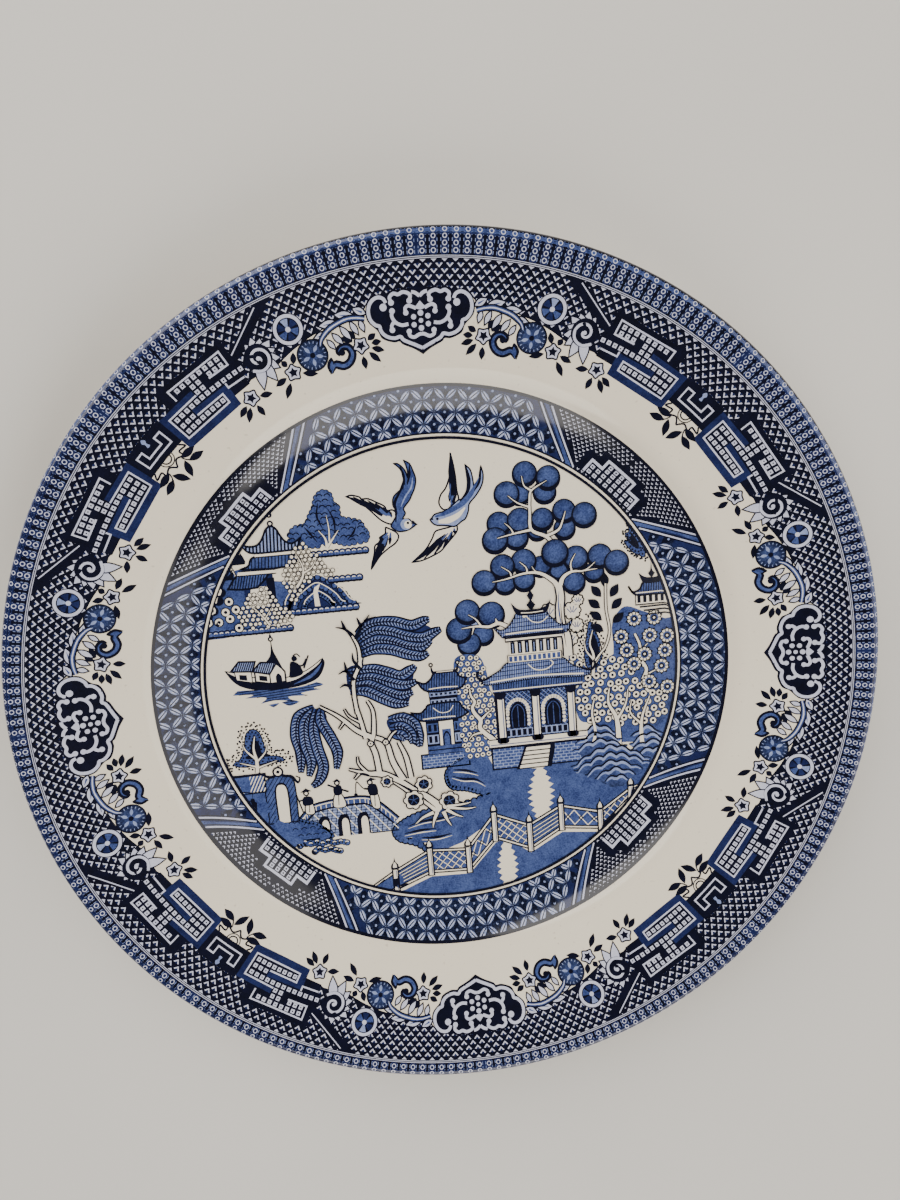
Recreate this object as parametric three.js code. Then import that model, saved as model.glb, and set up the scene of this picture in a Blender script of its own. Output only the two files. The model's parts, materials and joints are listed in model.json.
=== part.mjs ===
// A 260 mm glazed earthenware dinner plate with an underglaze blue transfer print.
// Units are millimetres. +Z is up, the plate stands on its foot ring at z = 0, its axis is
// the Z axis, and +Y points to the top of the printed scene.
import * as THREE from "three";

// Driving dimensions of the fired body.
const plateRadius = 130; // to the outside of the rolled edge
const plateHeight = 24; // foot to the top of the edge
const floorRadius = 73; // flat part of the well
const wallWidth = 16; // from the flat floor out to the verge, where the wall turns into the rim
const shoulderWidth = 4.5; // of the rounded turn from wall to rim
const footRecess = 1.6; // depth of the hollow inside the foot ring
const floorThickness = 4.2;
const wallThickness = 4.4; // at the verge, measured square to the wall
const rimThickness = 3.6; // at the edge, which is rounded to half of this
const footSetOut = 6; // outside of the foot ring, outwards from the flat floor
const footWidth = 3.6; // the flat that the plate stands on
const footDraft = 0.9; // how far each side of the foot ring leans out towards the body

// Slopes of the upper surface, in degrees above level.
const wallSlope = 38;
const rimStartSlope = 15;
const rimEndSlope = 19;

// The printed films: ink and glaze standing on the body.
const filmThickness = 0.08;
const filmClearance = 0.02; // kept between a film and the body below it
const sceneHem = 1; // how far the scene laps up from the flat floor onto the wall
const borderGap = 0.6; // between the scene and the border round it
const vergeLap = 0.4; // how far the well border laps over the verge
const bareRim = 3; // unprinted start of the rim
const edgeMargin = 0.9; // the rim border stops this far inside the rolled edge
const backstampRadius = 15;

// How finely the round shapes are cut into facets.
const turns = 72;
const wallSteps = 6;
const shoulderSteps = 4;
const rimSteps = 6;
const edgeStep = 30; // degrees of the rolled edge in one facet
const backstampTurns = 36;

// Heights and radii that follow from the driving dimensions.
const floorTop = footRecess + floorThickness;
const edgeRadius = rimThickness / 2;
const edgeCentre = new THREE.Vector2(plateRadius - edgeRadius, plateHeight - edgeRadius);
const vergeRadius = floorRadius + wallWidth;
const rimRadius = vergeRadius + shoulderWidth;
const footOuterRadius = floorRadius + footSetOut;
const footInnerRadius = footOuterRadius - footWidth;
const sceneRadius = floorRadius + sceneHem;
const wellBorderInner = sceneRadius + borderGap;
const wellBorderOuter = vergeRadius + vergeLap;
const rimBorderInner = rimRadius + bareRim;
const rimBorderOuter = edgeCentre.x - edgeMargin;

const heading = (degrees) => new THREE.Vector2(Math.cos(THREE.MathUtils.degToRad(degrees)),
  Math.sin(THREE.MathUtils.degToRad(degrees)));

// A point moved square to a slope: positive is above the surface, negative is into the body.
const offset = (point, slope, distance) => {
  const along = heading(slope);
  return new THREE.Vector2(point.x - along.y * distance, point.y + along.x * distance);
};

// A smooth profile curve that leaves a at one slope and arrives at b at another.
function profileCurve(a, slopeA, b, slopeB) {
  const reach = a.distanceTo(b) / 3;
  return new THREE.CubicBezierCurve(
    a,
    a.clone().addScaledVector(heading(slopeA), reach),
    b.clone().addScaledVector(heading(slopeB), -reach),
    b,
  );
}

// Corners of the upper surface, from the floor of the well to the top of the edge.
const wallRise = wallWidth * Math.tan(THREE.MathUtils.degToRad(wallSlope / 2));
const floorEnd = new THREE.Vector2(floorRadius, floorTop);
const verge = new THREE.Vector2(vergeRadius, floorTop + wallRise);
const shoulderRise = shoulderWidth * Math.tan(THREE.MathUtils.degToRad((wallSlope + rimStartSlope) / 2));
const rimStart = new THREE.Vector2(rimRadius, verge.y + shoulderRise);
const rimEnd = offset(edgeCentre, rimEndSlope, edgeRadius);

// The upper surface as one run of points, outwards from the end of the floor.
function upperSurface() {
  const wall = profileCurve(floorEnd, 0, verge, wallSlope);
  const shoulder = profileCurve(verge, wallSlope, rimStart, rimStartSlope);
  const rim = profileCurve(rimStart, rimStartSlope, rimEnd, rimEndSlope);
  return [
    ...wall.getPoints(wallSteps),
    ...shoulder.getPoints(shoulderSteps).slice(1),
    ...rim.getPoints(rimSteps).slice(1),
  ];
}

// The rolled edge, round from the upper surface to the underside. It has a corner at its highest
// and at its outermost point, so that the faceted body measures its true height and diameter.
function rolledEdge() {
  const points = [];
  for (let degrees = 90; degrees > rimEndSlope - 90; degrees -= edgeStep) {
    points.push(edgeCentre.clone().addScaledVector(heading(degrees), edgeRadius));
  }
  return points;
}

// The underside, inwards from the edge to the foot ring, the foot ring and the recess in it.
function underside() {
  const edgeEnd = offset(rimEnd, rimEndSlope, -rimThickness);
  const underRim = offset(rimStart, rimStartSlope, -wallThickness);
  const underVerge = offset(verge, wallSlope, -wallThickness);
  const footRoot = new THREE.Vector2(footOuterRadius + footDraft, footRecess);
  const rim = profileCurve(edgeEnd, rimEndSlope + 180, underRim, rimStartSlope + 180);
  const shoulder = profileCurve(underRim, rimStartSlope + 180, underVerge, wallSlope + 180);
  const wall = profileCurve(underVerge, wallSlope + 180, footRoot, 180 + rimStartSlope);
  return [
    ...rim.getPoints(rimSteps),
    ...shoulder.getPoints(shoulderSteps).slice(1),
    ...wall.getPoints(wallSteps).slice(1),
    new THREE.Vector2(footOuterRadius, 0),
    new THREE.Vector2(footInnerRadius, 0),
    new THREE.Vector2(footInnerRadius - footDraft, footRecess),
  ];
}

const upper = upperSurface();

// The fired body, turned in one piece: well, wall, rim, rolled edge and foot ring.
function bodyGeometry() {
  const profile = [
    new THREE.Vector2(0, footRecess),
    ...underside().reverse(),
    ...rolledEdge().reverse(),
    ...upper.slice().reverse(),
    new THREE.Vector2(0, floorTop),
  ];
  return new THREE.LatheGeometry(profile, turns);
}

// The stretch of the upper surface between two radii, cut at exactly those radii.
function surfaceBetween(inner, outer) {
  const heightAt = (radius) => {
    const i = upper.findIndex((p) => p.x >= radius);
    const share = (radius - upper[i - 1].x) / (upper[i].x - upper[i - 1].x);
    return upper[i - 1].clone().lerp(upper[i], share);
  };
  const between = upper.filter((p) => p.x > inner && p.x < outer);
  return [heightAt(inner), ...between, heightAt(outer)];
}

// A run of profile points lifted off the body, each square to the surface at it.
function lifted(points, height) {
  return points.map((p, i) => {
    const before = points[Math.max(i - 1, 0)];
    const after = points[Math.min(i + 1, points.length - 1)];
    const along = after.clone().sub(before).normalize();
    return new THREE.Vector2(p.x - along.y * height, p.y + along.x * height);
  });
}

// A printed band on the upper surface between two radii.
function bandGeometry(inner, outer) {
  const surface = surfaceBetween(inner, outer);
  const low = lifted(surface, filmClearance);
  const high = lifted(surface, filmClearance + filmThickness).reverse();
  return new THREE.LatheGeometry([...low, ...high, low[0].clone()], turns);
}

// A flat printed disc between two heights.
function discGeometry(radius, bottom, top, sides) {
  return new THREE.LatheGeometry([
    new THREE.Vector2(0, bottom),
    new THREE.Vector2(radius, bottom),
    new THREE.Vector2(radius, top),
    new THREE.Vector2(0, top),
  ], sides);
}

// The scene covers the floor and the first of the wall, so it is a disc with a raised hem.
function sceneGeometry() {
  const hem = surfaceBetween(floorRadius + filmClearance, sceneRadius);
  const low = lifted(hem, filmClearance);
  const high = lifted(hem, filmClearance + filmThickness).reverse();
  return new THREE.LatheGeometry([
    new THREE.Vector2(0, floorTop + filmClearance),
    ...low,
    ...high,
    new THREE.Vector2(0, floorTop + filmClearance + filmThickness),
  ], turns);
}

function backstampGeometry() {
  const top = footRecess - filmClearance;
  return discGeometry(backstampRadius, top - filmThickness, top, backstampTurns);
}

const glazedWhite = new THREE.MeshStandardMaterial({ color: 0xeae4da, roughness: 0.12, metalness: 0 });
const cobaltPrint = new THREE.MeshStandardMaterial({ color: 0x2c4183, roughness: 0.14, metalness: 0 });

// LatheGeometry turns about its own Y axis, so each mesh is stood up onto Z.
function turned(name, geometry, material) {
  const mesh = new THREE.Mesh(geometry, material);
  mesh.name = name;
  mesh.rotation.x = Math.PI / 2;
  return mesh;
}

const plate = new THREE.Group();
plate.add(turned("plate_body", bodyGeometry(), glazedWhite));
plate.add(turned("rim_border_print", bandGeometry(rimBorderInner, rimBorderOuter), cobaltPrint));
plate.add(turned("well_border_print", bandGeometry(wellBorderInner, wellBorderOuter), cobaltPrint));
plate.add(turned("centre_scene_print", sceneGeometry(), cobaltPrint));
plate.add(turned("backstamp_print", backstampGeometry(), cobaltPrint));

export default plate;
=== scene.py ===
"""The looks of a blue-and-white transfer-printed dinner plate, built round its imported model.
Every outline is drawn in millimetres on the plate seen from above, with +Y to the top of the scene."""
import bisect
import json
import math
import random

import bmesh
import bpy
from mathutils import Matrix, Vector

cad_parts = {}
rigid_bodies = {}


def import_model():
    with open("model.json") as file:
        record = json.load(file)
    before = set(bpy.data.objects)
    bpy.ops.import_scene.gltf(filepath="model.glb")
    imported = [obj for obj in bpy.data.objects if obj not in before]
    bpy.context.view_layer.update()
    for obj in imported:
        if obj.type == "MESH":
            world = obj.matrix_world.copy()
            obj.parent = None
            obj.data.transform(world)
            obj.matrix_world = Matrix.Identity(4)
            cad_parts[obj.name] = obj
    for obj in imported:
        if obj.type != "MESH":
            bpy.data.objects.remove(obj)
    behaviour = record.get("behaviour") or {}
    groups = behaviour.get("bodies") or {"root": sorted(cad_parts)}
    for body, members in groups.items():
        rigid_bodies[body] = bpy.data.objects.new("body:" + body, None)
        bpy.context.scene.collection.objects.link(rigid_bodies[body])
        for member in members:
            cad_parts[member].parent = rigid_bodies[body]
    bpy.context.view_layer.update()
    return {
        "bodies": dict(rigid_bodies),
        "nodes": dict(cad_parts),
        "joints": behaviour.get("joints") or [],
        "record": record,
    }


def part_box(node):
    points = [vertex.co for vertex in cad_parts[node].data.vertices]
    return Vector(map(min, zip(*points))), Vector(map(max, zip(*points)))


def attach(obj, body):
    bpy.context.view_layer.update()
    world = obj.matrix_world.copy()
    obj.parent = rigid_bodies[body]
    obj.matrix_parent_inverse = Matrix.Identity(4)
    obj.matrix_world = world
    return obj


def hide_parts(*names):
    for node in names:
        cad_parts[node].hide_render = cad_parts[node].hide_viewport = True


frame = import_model()

# ---------------------------------------------------------------------------------------------
# The fired body. One piece of earthenware, jiggered on a turning mould: the well, its wall, the
# rim with a rolled edge, and the foot ring underneath. It is dipped in a warm clear glaze.
MM = 0.001
plate_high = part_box("plate_body")[1]
plate_radius = plate_high.x / MM
plate_height = plate_high.z / MM
floor_radius = 73.0
wall_width = 16.0
shoulder_width = 4.5
foot_recess = 1.6
floor_top = 5.8
wall_thickness = 4.4
rim_thickness = 3.6
foot_outer = 79.0
foot_inner = 75.4
foot_draft = 0.9
wall_slope = 38.0
rim_start_slope = 15.0
rim_end_slope = 19.0
edge_radius = rim_thickness / 2
edge_centre = (plate_radius - edge_radius, plate_height - edge_radius)
spin_steps = 288


def heading(degrees):
    """The unit step up a slope."""
    return math.cos(math.radians(degrees)), math.sin(math.radians(degrees))


def beside(point, slope, distance):
    """A profile point moved square to a slope: positive is above it."""
    along = heading(slope)
    return point[0] - along[1] * distance, point[1] + along[0] * distance


def profile_curve(a, slope_a, b, slope_b, steps):
    """A smooth profile from a to b that leaves and arrives at the given slopes, without its end."""
    reach = math.dist(a, b) / 3
    go, come = heading(slope_a), heading(slope_b)
    p = (a, (a[0] + go[0] * reach, a[1] + go[1] * reach), (b[0] - come[0] * reach, b[1] - come[1] * reach), b)
    points = []
    for step in range(steps):
        t = step / steps
        shares = ((1 - t) ** 3, 3 * t * (1 - t) ** 2, 3 * t * t * (1 - t), t**3)
        points.append(tuple(sum(s * q[axis] for s, q in zip(shares, p)) for axis in (0, 1)))
    return points


wall_rise = wall_width * math.tan(math.radians(wall_slope / 2))
shoulder_rise = shoulder_width * math.tan(math.radians((wall_slope + rim_start_slope) / 2))
floor_end = (floor_radius, floor_top)
verge = (floor_radius + wall_width, floor_top + wall_rise)
rim_start = (verge[0] + shoulder_width, verge[1] + shoulder_rise)
rim_end = beside(edge_centre, rim_end_slope, edge_radius)
roll_steps = 24

upper = profile_curve(floor_end, 0, verge, wall_slope, 24)
upper += profile_curve(verge, wall_slope, rim_start, rim_start_slope, 12)
upper += profile_curve(rim_start, rim_start_slope, rim_end, rim_end_slope, 16)
roll = []
for step in range(roll_steps + 1):
    turn = math.radians(90 + rim_end_slope - 180 * step / roll_steps)
    roll.append((
        edge_centre[0] + edge_radius * math.cos(turn), edge_centre[1] + edge_radius * math.sin(turn)
    ))
under_rim = beside(rim_start, rim_start_slope, -wall_thickness)
under_verge = beside(verge, wall_slope, -wall_thickness)
foot_root = (foot_outer + foot_draft, foot_recess)
lower = profile_curve(roll[-1], rim_end_slope + 180, under_rim, rim_start_slope + 180, 12)
lower += profile_curve(under_rim, rim_start_slope + 180, under_verge, wall_slope + 180, 8)
lower += profile_curve(under_verge, wall_slope + 180, foot_root, 180 + rim_start_slope, 14)
foot_round = 0.45
foot_ring = [foot_root]
for centre, start in (
    ((foot_outer - foot_round, foot_round), 0), ((foot_inner + foot_round, foot_round), -90)
):
    for step in range(6):
        turn = math.radians(start - 90 * step / 5)
        foot_ring.append((centre[0] + foot_round * math.cos(turn), centre[1] + foot_round * math.sin(turn)))
foot_ring.append((foot_inner - foot_draft, foot_recess))
floor_rings = [(radius, floor_top) for radius in (0, 12, 26, 40, 54, 66)]
base_rings = [(radius, foot_recess) for radius in (66, 50, 34, 18, 0)]
profile = floor_rings + upper + roll + lower[1:] + foot_ring + base_rings


def new_mesh(name, points, edges, faces):
    """A mesh object at the origin, made the active and only selected one."""
    mesh = bpy.data.meshes.new(name)
    mesh.from_pydata(points, edges, faces)
    piece = bpy.data.objects.new(name, mesh)
    bpy.context.scene.collection.objects.link(piece)
    bpy.ops.object.select_all(action="DESELECT")
    bpy.context.view_layer.objects.active = piece
    piece.select_set(True)
    return piece


body = new_mesh(
    "glazed_body", [(r * MM, 0, z * MM) for r, z in profile], [(i, i + 1) for i in range(len(profile) - 1)],
    [],
)
bpy.ops.object.mode_set(mode="EDIT")
bpy.ops.mesh.select_all(action="SELECT")
bpy.ops.mesh.spin(steps=spin_steps, angle=2 * math.pi, center=(0, 0, 0), axis=(0, 0, 1))
bpy.ops.mesh.select_all(action="SELECT")
bpy.ops.mesh.remove_doubles(threshold=1e-6)
bpy.ops.mesh.normals_make_consistent(inside=False)
bpy.ops.object.mode_set(mode="OBJECT")
bpy.ops.object.shade_smooth_by_angle(angle=math.radians(50))


class Value:
    """A number from a node. Python's operators on it add Math nodes."""

    def __init__(self, finish, socket):
        self.finish = finish
        self.socket = socket

    def maths(self, operation, *values):
        return self.finish.node("ShaderNodeMath", {"operation": operation}, dict(enumerate(values)))

    def __add__(self, other):
        return self.maths("ADD", self, other)

    def __sub__(self, other):
        return self.maths("SUBTRACT", self, other)

    def __rsub__(self, other):
        return self.maths("SUBTRACT", other, self)

    def __mul__(self, other):
        return self.maths("MULTIPLY", self, other)

    def clamped(self, low, high):
        return self.maths("MAXIMUM", self.maths("MINIMUM", self, high), low)

    __radd__ = __add__
    __rmul__ = __mul__


class Finish:
    """A material in the making."""

    def __init__(self, name):
        self.material = bpy.data.materials.new(name)
        self.material.use_nodes = True
        self.tree = self.material.node_tree
        self.shader = self.tree.nodes["Principled BSDF"]

    def node(self, kind, settings, sockets, output=0):
        """Adds a node: its settings first, then the values or links of its sockets."""
        made = self.tree.nodes.new(kind)
        for name, value in settings.items():
            setattr(made, name, value)
        for name, value in sockets.items():
            self.feed(made.inputs[name], value)
        return Value(self, made.outputs[output])

    def feed(self, socket, value):
        if isinstance(value, Value):
            self.tree.links.new(value.socket, socket)
        else:
            socket.default_value = value

    def surface(self, **sockets):
        """Sets or links the sockets of the shader, whose names are written with underscores."""
        for name, value in sockets.items():
            self.feed(self.shader.inputs[name.replace("_", " ")], value)

    def where(self):
        return self.node("ShaderNodeTexCoord", {}, {}, "Object")

    def noise(self, scale, detail=2.0, roughness=0.5):
        sockets = {"Vector": self.where(), "Scale": scale, "Detail": detail, "Roughness": roughness}
        return self.node("ShaderNodeTexNoise", {}, sockets, "Fac")

    def blend(self, share, a, b):
        """A colour between a and b."""
        settings = {"data_type": "RGBA", "clamp_factor": True}
        return self.node("ShaderNodeMix", settings, {0: share, 6: a, 7: b}, 2)

    def bump(self, height, distance, strength):
        sockets = {"Height": height, "Distance": distance, "Strength": strength}
        return self.node("ShaderNodeBump", {}, sockets)


def tint(red, green, blue):
    """A colour given in display values from 0 to 255."""
    linear = []
    for channel in (red, green, blue):
        share = channel / 255
        linear.append(share / 12.92 if share <= 0.04045 else ((share + 0.055) / 1.055) ** 2.4)
    return (*linear, 1.0)


glaze_gloss = 0.13


def glaze_surface(finish):
    """The clear glaze that lies over body and print alike: faint ripples and gloss that varies."""
    ripple = finish.noise(55, 1.0) + 0.35 * finish.noise(340, 2.0)
    patches = finish.noise(22, 3.0)
    finish.surface(
        Roughness=(patches * 0.10 + (glaze_gloss - 0.05)).clamped(0.05, 0.3), IOR=1.5,
        Normal=finish.bump(ripple, 0.00006, 0.5),
    )


white_glaze = Finish("warm_white_glaze")
cloud = white_glaze.noise(14, 4.0, 0.6)
speckle = (white_glaze.noise(900, 0.0) - 0.76).clamped(0, 1) * 3.0
clay = white_glaze.blend(cloud, tint(236, 226, 206), tint(244, 235, 217))
clay = white_glaze.blend(speckle.clamped(0, 0.35), clay, tint(176, 160, 138))
# The glaze is wiped off the flat of the foot ring, where the plate stood in the kiln.
height = white_glaze.node("ShaderNodeSeparateXYZ", {}, {"Vector": white_glaze.where()}, "Z")
wiped = ((0.00012 - height) * 9000).clamped(0, 1)
clay = white_glaze.blend(wiped, clay, tint(196, 176, 148))
glaze_surface(white_glaze)
white_glaze.surface(Base_Color=clay)
body.data.materials.append(white_glaze.material)

# The bake map lays the upper side on the left half of the square and the underside on the right.
bake_map = body.data.uv_layers.new(name="OFBake")
for face in body.data.polygons:
    middle = 0.75 if face.normal.z < 0 else 0.25
    for loop in face.loop_indices:
        x, y, _ = body.data.vertices[body.data.loops[loop].vertex_index].co
        bake_map.data[loop].uv = (middle + 0.245 * x / plate_high.x, 0.5 + 0.49 * y / plate_high.x)

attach(body, "root")
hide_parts("plate_body")

# ---------------------------------------------------------------------------------------------
# The border of the rim. A tissue print rubbed onto the raw body in sections: beads along the
# rolled edge, a trellis ground, and fret panels, discs, leaves and cartouches over the trellis.
outline_reach = floor_rings + upper + roll
laid = [point[0] for point in floor_rings + upper]
laid += [rim_end[0] + edge_radius * math.pi * step / roll_steps for step in range(roll_steps + 1)]
slopes = []
for i in range(len(outline_reach)):
    before, after = outline_reach[max(i - 1, 0)], outline_reach[min(i + 1, len(outline_reach) - 1)]
    slopes.append(math.atan2(after[1] - before[1], after[0] - before[0]))


def on_glaze(x, y, lift):
    """The place and the normal of a print point, lifted off the glaze. Both are in plate axes."""
    distance = math.hypot(x, y)
    i = min(max(bisect.bisect_right(laid, distance), 1), len(laid) - 1)
    share = (distance - laid[i - 1]) / (laid[i] - laid[i - 1])
    (r0, z0), (r1, z1) = outline_reach[i - 1], outline_reach[i]
    slope = slopes[i - 1] + (slopes[i] - slopes[i - 1]) * share
    radius = r0 + (r1 - r0) * share - math.sin(slope) * lift
    z = z0 + (z1 - z0) * share + math.cos(slope) * lift
    if distance < 1e-9:
        return (0, 0, z * MM), (0, 0, 1)
    away = (x / distance, y / distance)
    normal = (-math.sin(slope) * away[0], -math.sin(slope) * away[1], math.cos(slope))
    return (away[0] * radius * MM, away[1] * radius * MM, z * MM), normal


def curved(points, closed=False, steps=5):
    """A smooth line through the points. A point with a third number is a sharp corner."""
    count = len(points)
    line = []
    for i in range(count if closed else count - 1):
        b, c = points[i], points[(i + 1) % count]
        a = points[i - 1] if closed or i > 0 else b
        d = points[(i + 2) % count] if closed or i + 2 < count else c
        a = b if len(b) > 2 else a
        d = c if len(c) > 2 else d
        for step in range(steps):
            t = step / steps
            shares = (-t + 2 * t * t - t**3, 2 - 5 * t * t + 3 * t**3, t + 4 * t * t - 3 * t**3, t**3 - t * t)
            line.append(tuple(sum(s * p[axis] for s, p in zip(shares, (a, b, c, d))) / 2 for axis in (0, 1)))
    return line if closed else line + [points[-1][:2]]


def arc(x, y, radius, start, end, steps=12):
    """Points round an arc, with angles in degrees anticlockwise from +X."""
    turns = [math.radians(start + (end - start) * step / steps) for step in range(steps + 1)]
    return [(x + radius * math.cos(turn), y + radius * math.sin(turn)) for turn in turns]


class Drawing:
    """Shapes drawn in order, each a hair above the last, in one or more inks.
    The whole drawing is laid on the glaze once for each of its turns and mirrorings. Faces longer
    than a cell are cut to bend with the plate, and reach keeps points from running too far out."""

    def __init__(self, centre=(0, 0), copies=((0, 1),), cell=None, reach=None):
        self.centre = centre
        self.copies = copies
        self.cell = cell
        self.reach = reach
        self.level = 0
        self.inks = {}

    def area(self, ink, outline, shades=None):
        """Fills a straight-edged outline and goes up one level."""
        faces = self.inks.setdefault(ink, [])
        shades = shades or [0] * len(outline)
        faces.append([(p[0], p[1], self.level, s) for p, s in zip(outline, shades)])
        self.level += 1

    def line(self, ink, points, width, closed=False, smooth=True):
        """A brush line: width is one number, or several spread evenly along it."""
        path = curved(points, closed) if smooth else [p[:2] for p in points]
        widths = width if isinstance(width, tuple) else (width, width)
        count = len(path)
        left, right = [], []
        for i, (x, y) in enumerate(path):
            before = path[i - 1] if closed or i else path[i]
            after = path[(i + 1) % count] if closed or i + 1 < count else path[i]
            into = Vector((x - before[0], y - before[1]))
            out = Vector((after[0] - x, after[1] - y))
            into = into.normalized() if into.length > 1e-9 else out.normalized()
            out = out.normalized() if out.length > 1e-9 else into
            mean = into + out
            mean = mean.normalized() if mean.length > 0.3 else into
            spread = max(mean.dot(into), 0.5)
            place = i / max(count - 1, 1) * (len(widths) - 1)
            k = min(int(place), len(widths) - 2)
            half = (widths[k] + (widths[k + 1] - widths[k]) * (place - k)) / 2 / spread
            left.append((x - mean.y * half, y + mean.x * half))
            right.append((x + mean.y * half, y - mean.x * half))
        level = self.level
        for i in range(count if closed else count - 1):
            j = (i + 1) % count
            self.level = level
            self.area(ink, [left[i], right[i], right[j], left[j]])

    def shape(self, ink, outline, edge=0, edge_ink="navy", smooth=True, steps=5):
        """Fills a smooth outline, with a line round it if edge is its width."""
        self.area(ink, curved(outline, True, steps) if smooth else outline)
        if edge:
            self.line(edge_ink, curved(outline, True, steps) if smooth else outline, edge, True, False)

    def block(self, ink, x0, y0, x1, y1):
        """Fills an upright rectangle between two of its corners."""
        self.area(ink, [(x0, y0), (x1, y0), (x1, y1), (x0, y1)])

    def straight(self, ink, points, width):
        """A line with straight stretches between its points."""
        self.line(ink, points, width, smooth=False)

    def disc(self, ink, x, y, radius, sides):
        self.area(ink, arc(x, y, radius, 0, 360 - 360 / sides, sides - 1))

    def target(self, x, y, *rounds):
        """Discs on one centre, each given as its ink, radius and sides, and the last on top."""
        for ink, radius, sides in rounds:
            self.disc(ink, x, y, radius, sides)

    def ring(self, ink, x, y, radius, width, sides):
        self.line(ink, arc(x, y, radius, 0, 360 - 360 / sides, sides - 1), width, True, False)

    def leaf(self, ink, x, y, angle, length, width, edge=0):
        """A pointed leaf or bud that grows from a place at an angle."""
        along = heading(angle)
        places = ((0, 0), (0.3, 0.42), (0.62, 0.46), (1, 0.02), (0.62, -0.46), (0.3, -0.42))
        points = []
        for go, aside in places:
            points.append((
                x + along[0] * go * length - along[1] * aside * width,
                y + along[1] * go * length + along[0] * aside * width
            ))
        points[0] += (0,)
        points[3] += (0,)
        self.shape(ink, points, edge, steps=3)

    def many(self, draw, places):
        """Draws the same thing at many places that don't overlap, on the same levels."""
        level = self.level
        top = level
        for place in places:
            self.level = level
            draw(*place)
            top = max(top, self.level)
        self.level = top


first_lift = 0.02
level_lift = 0.004


def cut_to_cells(faces, cell):
    """Cuts the faces that are longer than a cell along a square grid, so that they can bend."""
    small = []
    large = bmesh.new()
    shade_layer = large.verts.layers.float.new("shade")
    lows, highs = [1e9, 1e9], [-1e9, -1e9]
    for face in faces:
        sizes = [max(p[axis] for p in face) - min(p[axis] for p in face) for axis in (0, 1)]
        if max(sizes) <= cell:
            small.append(face)
            continue
        corners = []
        for x, y, level, shade in face:
            corner = large.verts.new((x, y, level))
            corner[shade_layer] = shade
            corners.append(corner)
            lows = [min(lows[0], x), min(lows[1], y)]
            highs = [max(highs[0], x), max(highs[1], y)]
        large.faces.new(corners)
    for axis in (0, 1):
        if not large.faces:
            break
        direction = (1, 0, 0) if axis == 0 else (0, 1, 0)
        for k in range(math.floor(lows[axis] / cell) + 1, math.ceil(highs[axis] / cell)):
            place = [k * cell * d for d in direction]
            everything = large.verts[:] + large.edges[:] + large.faces[:]
            bmesh.ops.bisect_plane(large, geom=everything, plane_co=place, plane_no=direction, dist=1e-5)
    for face in large.faces:
        small.append([(*loop.vert.co, loop.vert[shade_layer]) for loop in face.loops])
    large.free()
    return small


def lay_print(name, drawings, materials, node, surface=on_glaze):
    """Makes one thin piece for each ink of some drawings, and lays it on the glaze. The pieces stand in for
    the CAD node, which is hidden."""
    for ink in materials:
        points, normals, faces, shades = [], [], [], []
        for drawing in drawings:
            flat = drawing.inks.get(ink, [])
            flat = cut_to_cells(flat, drawing.cell) if drawing.cell else flat
            flat = sorted(flat, key=lambda face: face[0][2])
            for angle, mirror in drawing.copies:
                cos, sin = heading(angle)
                for face in flat:
                    corners = []
                    for x, y, level, shade in face:
                        x *= mirror
                        px = drawing.centre[0] + x * cos - y * sin
                        py = drawing.centre[1] + x * sin + y * cos
                        if drawing.reach:
                            px, py = drawing.reach(px, py)
                        corners.append((px, py, first_lift + level * level_lift, shade))
                    turned = sum(
                        a[0] * b[1] - b[0] * a[1] for a, b in zip(corners, corners[1:] + corners[:1])
                    )
                    if abs(turned) < 1e-4:
                        continue
                    corners = corners if turned > 0 else corners[::-1]
                    faces.append(range(len(points), len(points) + len(corners)))
                    for px, py, lift, shade in corners:
                        place, normal = surface(px, py, lift)
                        points.append(place)
                        normals.append(normal)
                        shades.append(shade)
        if not faces:
            continue
        piece = new_mesh(f"{name}_{ink}", points, [], faces)
        mesh = piece.data
        mesh.shade_smooth()
        mesh.normals_split_custom_set_from_vertices(normals)
        if any(shades):
            mesh.attributes.new("shade", "FLOAT", "POINT").data.foreach_set("value", shades)
        flat_map = mesh.uv_layers.new(name="OFBake")
        span = 2.02 * max(abs(c) for p in points for c in p[:2])
        for loop in mesh.loops:
            x, y, _ = points[loop.vertex_index]
            flat_map.data[loop.index].uv = (x / span + 0.5, y / span + 0.5)
        mesh.materials.append(materials[ink])
        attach(piece, "root")
    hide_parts(node)


def cobalt(name, thin, thick, deep=None):
    """Cobalt ink under the glaze: it takes unevenly, so it is mottled, and stippled finer still.
    With a deep colour it is stippled darker towards the edge of a form, as the shade attribute says."""
    finish = Finish(name)
    mottle = finish.noise(260, 3.0, 0.6)
    stipple = finish.noise(2100, 1.0)
    share = ((mottle - 0.5) * 1.3 + (stipple - 0.5) * 1.1 + 0.5).clamped(0, 1)
    colour = finish.blend(share, tint(*thin), tint(*thick))
    if deep:
        shade = finish.node("ShaderNodeAttribute", {"attribute_name": "shade"}, {}, "Fac")
        deepened = (shade * 1.15 + (stipple - 0.5) * 0.7 + (mottle - 0.5) * 0.4).clamped(0, 1)
        colour = finish.blend(deepened, colour, tint(*deep))
    finish.surface(Base_Color=colour)
    glaze_surface(finish)
    return finish.material


navy_ink = cobalt("black_cobalt", (9, 12, 40), (1, 2, 14))
deep_ink = cobalt("deep_cobalt", (34, 46, 96), (8, 14, 52))
blue_ink = cobalt("middle_cobalt", (84, 102, 156), (26, 40, 96), (3, 6, 30))
pale_ink = cobalt("pale_cobalt", (160, 172, 208), (104, 122, 176))
reserve_ink = cobalt("bare_glaze_in_print", (214, 216, 232), (188, 192, 220))
rim_inks = {"navy": navy_ink, "deep": deep_ink, "blue": blue_ink, "pale": pale_ink, "white": reserve_ink}

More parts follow.
